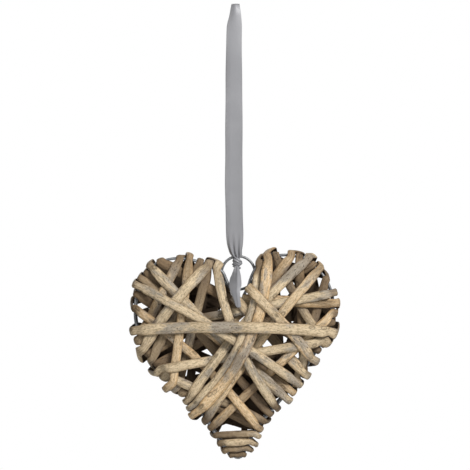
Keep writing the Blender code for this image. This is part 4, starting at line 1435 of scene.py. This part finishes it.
def fold_depth(width, folds):
    """Height of the waves that take up the woven width in a narrower one."""
    slack = max((WOVEN_WIDTH / max(width, 1.0)) ** 2 - 1.0, 0.0)
    return min(width / (math.pi * folds) * math.sqrt(2 * slack), STEEPEST_FOLD * width)


print("folds where it is %.0f mm wide are %.1f mm high" % (NARROW, fold_depth(NARROW, FOLDS)))

# %% [markdown]
# The loop is one length of ribbon, from the knot up the front, over the nail and down the back.
# At the nail it is pinched to half its width, in one soft fold. A long ribbon never hangs quite
# flat: it cups a little along its middle and its edges waver.

# %% The loop
LOOP_STEP = 1.6
GATHERED_BELOW = 205.0
GATHER_LENGTH = 30.0
PINCH_LENGTH = 30.0
PINCH_DEPTH = 1.5
PINCH_TURN = 0.9
SOFT_POWER = 1.5
CUP_DEPTH = 0.5
CUP_MIDDLE = 0.4
CUP_WAVE = 47.0
SWAY_DEPTH = 0.25
SWAY_WAVE = 11.0
ROLL_DEPTH = 1.6
ROLL_LENGTH = 150.0
ROLL_FROM = 0.35
WIDTH_WAVER = 0.012
WAVER_WAVE = 8.3


def loop_grid():
    """Rows of the loop, up its front side (-1) and down its back (1)."""
    last = RIBBON_WIDTHS[-1][0]
    levels = np.linspace(0.0, last, int(last / LOOP_STEP))
    downs = np.concatenate([levels[::-1], levels[1:]])
    sides = [-1] * len(levels) + [1] * (len(levels) - 1)
    table, depths = read_table(RIBBON_WIDTHS, downs), read_table(RIBBON_DEPTHS, downs)[:, 0]
    across = np.linspace(-1.0, 1.0, ACROSS_POINTS)
    grid = []
    for down, side, (width, shift), depth in zip(downs, sides, table, depths):
        gathered = min(1.0, max(0.0, (down - GATHERED_BELOW) / GATHER_LENGTH))
        pinched = max(0.0, 1.0 - down / PINCH_LENGTH) ** SOFT_POWER
        wave = fold_depth(width, FOLDS) * gathered * np.cos(across * FOLDS * math.pi + 0.5 * side)
        wave += PINCH_DEPTH * pinched * np.cos(across * math.pi * PINCH_TURN)
        cup = CUP_DEPTH * (1.0 - gathered) * (across ** 2 - CUP_MIDDLE) \
            * math.sin(down / CUP_WAVE + 1.0)
        sway = SWAY_DEPTH * np.sin(down / SWAY_WAVE + side) * np.abs(across) ** 3 * np.sign(across)
        roll = ROLL_DEPTH * min(1.0, down / ROLL_LENGTH) \
            * np.maximum(-across - ROLL_FROM, 0.0) ** SOFT_POWER
        y = side * depth + wave * side * 0.5 + cup + roll + sway * (1.0 - pinched)
        half = width / 2 * (1.0 + WIDTH_WAVER * math.sin(down / WAVER_WAVE))
        grid.append([(shift + half * u, offset, -down) for u, offset in zip(across, y)])
    return grid


ribbon_loop = sheet_piece("satin_loop", loop_grid())

# %% [markdown]
# The knot is an overhand knot pulled tight. Two turns of the ribbon lie slantwise over a core,
# with a small collar below them. Each bulges between its edges and is creased along its length.

# %% The knot
KNOT_CENTRE_Z = -245.6
KNOT_CORE = (3.6, 2.8, 4.4)
CORE_SEGMENTS = 32
CORE_RINGS = 20
# turn of the knot: tilt in degrees, half width across x and y, half height, height of its middle
KNOT_TURNS = ((-34.0, 3.7, 3.4, 2.5, -244.3), (24.0, 3.8, 3.1, 2.4, -247.1),
              (4.0, 2.1, 2.1, 1.3, -251.0))
KNOT_COLUMNS = 33
KNOT_ROWS = 96
BULGE = 1.3
CREASES = ((0.34, 8.0), (0.12, 17.0))
CREASE_WANDER = (1.5, 2.0)
# how far the edges of a turn sink in, across x and y, and how much its width varies
TURN_SUNK = (0.4, 0.5)
TURN_FLARE = 0.18


def knot_turn(tilt, wide, deep, tall, z):
    """Closed creased band round the knot, tilted about the line of sight."""
    grid = []
    across = np.linspace(-1.0, 1.0, KNOT_COLUMNS)
    round_part = np.sqrt(np.maximum(1.0 - across ** 2, 0.0))
    slope = math.radians(tilt)
    (coarse, coarse_waves), (fine, fine_waves) = CREASES
    for turn in np.linspace(0.0, 2 * math.pi, KNOT_ROWS, endpoint=False):
        crease = coarse * np.cos(across * coarse_waves + CREASE_WANDER[0] * math.sin(turn + tilt)) \
            + fine * np.cos(across * fine_waves + CREASE_WANDER[1] * math.cos(turn * 2))
        bulge = BULGE * round_part + crease * round_part
        x = (wide - TURN_SUNK[0] + bulge) * math.cos(turn)
        y = (deep - TURN_SUNK[1] + bulge) * math.sin(turn)
        lift = across * tall * (1.0 + TURN_FLARE * math.sin(turn + tilt))
        grid.append([(KNOT_X + a * math.cos(slope) - c * math.sin(slope), b,
                      z + a * math.sin(slope) + c * math.cos(slope))
                     for a, b, c in zip(x, y, lift)])
    return grid


def knot_core():
    """Corners, edges and faces of the egg that the turns lie on, with a pole at each end."""
    corners, faces, above = [], [], None
    for fall in np.linspace(0.0, math.pi, CORE_RINGS + 1):
        count = 1 if fall in (0.0, math.pi) else CORE_SEGMENTS
        row = [len(corners) + k % count for k in range(CORE_SEGMENTS)]
        corners += [(KNOT_X + KNOT_CORE[0] * math.sin(fall) * math.cos(turn),
                     KNOT_CORE[1] * math.sin(fall) * math.sin(turn),
                     KNOT_CENTRE_Z + KNOT_CORE[2] * math.cos(fall))
                    for turn in np.arange(count) * 2 * math.pi / CORE_SEGMENTS]
        for k in range(CORE_SEGMENTS if above else 0):
            faces.append(tuple(dict.fromkeys((above[k - 1], row[k - 1], row[k], above[k]))))
        above = row
    return (np.array(corners) * METRES).tolist(), [], faces


knot = []
for number, turn in enumerate(KNOT_TURNS):
    knot.append(sheet_piece("knot_turn_%d" % (number + 1), knot_turn(*turn), closed=True))
core_mesh = bpy.data.meshes.new("knot_core")
core_mesh.from_pydata(*knot_core())
core_mesh.materials.append(SATIN)
core_mesh.polygons.foreach_set("use_smooth", [True] * len(core_mesh.polygons))
knot.append(placed_object("knot_core", core_mesh))

# %% [markdown]
# Two tails hang from the knot, the front one longer. Each was cut to a point and folded once
# down its middle, so one half lies darker than the other. They hang over the strips in the
# notch, so at each height a ray from the front finds what they have to clear.

# %% The tails
TAIL_ROWS = 60
TAIL_COLUMNS = 25
TAIL_TURN_IN = 5.0
TAIL_TURNED_EDGE = 0.8
TAIL_SMOOTH_ROWS = 7
TAIL_NECK = 0.35
TAIL_NECK_LENGTH = 3.0
TAIL_LEFT_SLOPE = 1.2
TAIL_RIGHT_SLOPE = 0.12
TAIL_UNTWISTS = (256.0, 290.0)
TAIL_FOLD_SHIFT = 0.7
TAIL_GATHER_LENGTH = 7.0
TAIL_GATHER_DEPTH = 0.7
TAIL_GATHER_WAVES = 7.0
TAIL_RIPPLE = 0.12
TAIL_RIPPLE_WAVES = (5.0, 4.0)
TAIL_SWAY = 0.3
TAIL_SWAY_WAVE = 5.0
# where the fold lies across the tail, how far it wanders, and over what length
TAIL_FOLD_PLACE = (0.15, 0.2, 9.0)
RAY_START = HALF_DEPTH * 6
BETWEEN_TAILS = 0.4


def smoothed_forward(depths):
    """The same depths without kinks, and nowhere further back."""
    around = range(-TAIL_SMOOTH_ROWS, TAIL_SMOOTH_ROWS + 1)
    last = len(depths) - 1
    front = [min(depths[min(last, max(0, row + step))] for step in around)
             for row in range(last + 1)]
    return [sum(front[min(last, max(0, row + step))] for step in around) / len(around)
            for row in range(last + 1)]


def tail_grid(trees, behind, end):
    first = TAIL_SHAPE[0][0]
    downs = np.linspace(first, end, TAIL_ROWS)
    depths = smoothed_forward(tail_depths(list(downs), trees))
    table = read_table(TAIL_SHAPE, downs)
    across = np.linspace(-1.0, 1.0, TAIL_COLUMNS)
    fold_place, fold_wander, fold_wave = TAIL_FOLD_PLACE
    untwisting, untwisted = TAIL_UNTWISTS
    grid = []
    for down, depth, (half, middle) in zip(downs, depths, table):
        half *= 1.0 - TAIL_NECK * math.exp((first - down) / TAIL_NECK_LENGTH)
        ridge = fold_place + fold_wander * math.sin((down - first) / fold_wave)
        twist = min(1.0, max(0.0, (untwisted - down) / (untwisted - untwisting)))
        off_ridge = (across - ridge) * half
        left_slope = TAIL_RIGHT_SLOPE + (TAIL_LEFT_SLOPE - TAIL_RIGHT_SLOPE) * twist
        fold = np.where(off_ridge < 0, -left_slope, TAIL_RIGHT_SLOPE) * off_ridge \
            - TAIL_FOLD_SHIFT * left_slope * half
        gather = TAIL_GATHER_DEPTH * math.exp(-(down - first) / TAIL_GATHER_LENGTH)
        ripple = gather * np.cos(across * TAIL_GATHER_WAVES) \
            + TAIL_RIPPLE * np.cos(across * TAIL_RIPPLE_WAVES[0] + down / TAIL_RIPPLE_WAVES[1])
        curl = TAIL_TURN_IN * np.maximum(np.abs(across) - TAIL_TURNED_EDGE, 0.0) ** 2
        y = depth + behind + fold + ripple + curl
        sway = TAIL_SWAY * math.sin(down / TAIL_SWAY_WAVE)
        grid.append([(middle + sway * u * u + half * u, offset, -down)
                     for u, offset in zip(across, y)])
    return grid


def tree_of(item):
    """Search tree over one solid, in millimetres."""
    corners = [tuple(vertex.co / METRES) for vertex in item.data.vertices]
    faces = [tuple(face.vertices) for face in item.data.polygons]
    return bvhtree.BVHTree.FromPolygons(corners, faces)


def tail_depths(downs, trees):
    """How far forward the tail hangs at each distance down, clear of all that it lies on."""
    needed = []
    levels, widths, middles = zip(*TAIL_SHAPE)
    for down in downs:
        half, middle = np.interp(down, levels, widths), np.interp(down, levels, middles)
        reach = min(KNOT_FOOT_DEPTH, (down - downs[0]) * TAIL_START_SLOPE)
        depth = -reach
        for x in np.linspace(middle - half - TAIL_STEP / 3, middle + half + TAIL_STEP / 3, 5):
            for z in (-down - TAIL_STEP / 2, -down, -down + TAIL_STEP / 2):
                for tree in trees:
                    hit = tree.ray_cast((x, -RAY_START, z), (0.0, 1.0, 0.0), RAY_START)[0]
                    if hit is not None:
                        depth = min(depth, hit.y - TAIL_CREASE - RIBBON_THICKNESS - CLEARANCE
                                    - TAIL_GAP)
        needed.append(depth)
    return [min(need + TAIL_SLOPE * abs(down - other) for need, other in zip(needed, downs))
            for down in downs]


covering = [tree_of(item) for item in bpy.data.objects
            if item.name.startswith("willow_") or item.name.startswith("bent_wire")]
front_tail, back_tail = (
    sheet_piece(name, tail_grid(covering, behind, end))
    for name, behind, end in (("front_tail", 0.0, TAIL_SHAPE[-1][0]),
                              ("back_tail", TAIL_GAP + BETWEEN_TAILS, SECOND_TAIL_END)))
tied = [front_tail, back_tail] + knot
for piece in [ribbon_loop] + tied:
    stands_for(piece, "ribbon")

# %% [markdown]
# The picture: the heart hangs free, photographed with a long lens straight from the front. The
# heart leans a little, which is the camera's roll here. The background is plain white and the
# light soft, from the front and the upper right. The floor lies well below.

# %% Floor, light and background
FLOOR_Z = -0.75
FLOOR_HALF = 0.9
FLOOR_COLOUR = (0.8, 0.8, 0.79, 1.0)
FLOOR_ROUGHNESS = 0.7
SKY_LIGHT = 0.12
HEART_MIDDLE = (0.0, 0.0, -0.3)
# each light: place, width and height, watts
LIGHTS = {
    "key": ((0.75, -1.0, 0.7), 0.5, 25.5),
    "fill": ((-0.4, -1.7, 0.1), 1.0, 4.0),
    "back_fill": ((-0.6, 1.6, 0.2), 1.0, 12.0),
}

pale, pale_tree = empty_material("floor_pale")
finished(pale_tree, pale_tree.node("ShaderNodeBsdfPrincipled", _0=FLOOR_COLOUR,
                                   Roughness=FLOOR_ROUGHNESS))
floor_corners = [(x * FLOOR_HALF, y * FLOOR_HALF, FLOOR_Z)
                 for x, y in ((-1, -1), (1, -1), (1, 1), (-1, 1))]
floor_mesh = bpy.data.meshes.new("floor")
floor_mesh.from_pydata(floor_corners, [], [(0, 1, 2, 3)])
floor_mesh.materials.append(pale)
placed_object("floor", floor_mesh)

world = bpy.data.worlds.new("studio")
bpy.context.scene.world = world
world.use_nodes = True
world.node_tree.nodes.clear()
sky = Tree(world.node_tree)
seen = Value(sky, sky.node("ShaderNodeLightPath").outputs["Is Camera Ray"])
background = sky.node("ShaderNodeBackground", Color=(1.0, 1.0, 1.0, 1.0),
                      Strength=seen * (1.0 - SKY_LIGHT) + SKY_LIGHT)
sky.node("ShaderNodeOutputWorld", Surface=background.outputs[0])


def soft_light(name, place, size, power):
    light = bpy.data.lights.new(name, "AREA")
    light.shape = "RECTANGLE"
    light.size = light.size_y = size
    light.energy = power
    item = placed_object(name, light)
    item.location = place
    way = np.array(HEART_MIDDLE) - np.array(place)
    item.rotation_euler = (math.atan2(math.hypot(way[0], way[1]), -way[2]), 0.0,
                           math.atan2(way[1], way[0]) - math.pi / 2)


for name, setting in LIGHTS.items():
    soft_light(name, *setting)

# %% [markdown]
# The photo is 470 pixels square and one pixel is 0.95 mm on the heart, so the camera sees a
# square of 446.5 mm from 2.2 m away.

# %% Camera
VIEW_SIZE = 446.5
CAMERA_DISTANCE = 2200.0
AIM = (-2.75, -219.5)
LEAN = math.radians(0.6)
NEAREST_SEEN = 0.05

camera = bpy.data.cameras.new("camera")
camera.sensor_fit = "HORIZONTAL"
camera.angle = 2 * math.atan(VIEW_SIZE / 2 / CAMERA_DISTANCE)
camera.clip_start = NEAREST_SEEN
camera_item = placed_object("camera", camera)
camera_item.location = (AIM[0] * METRES, -CAMERA_DISTANCE * METRES, AIM[1] * METRES)
camera_item.rotation_euler = (math.pi / 2, LEAN, 0.0)
bpy.context.scene.camera = camera_item
bpy.context.scene.view_settings.view_transform = "Standard"
print("field of view %.2f degrees" % math.degrees(camera.angle))

# %% [markdown]
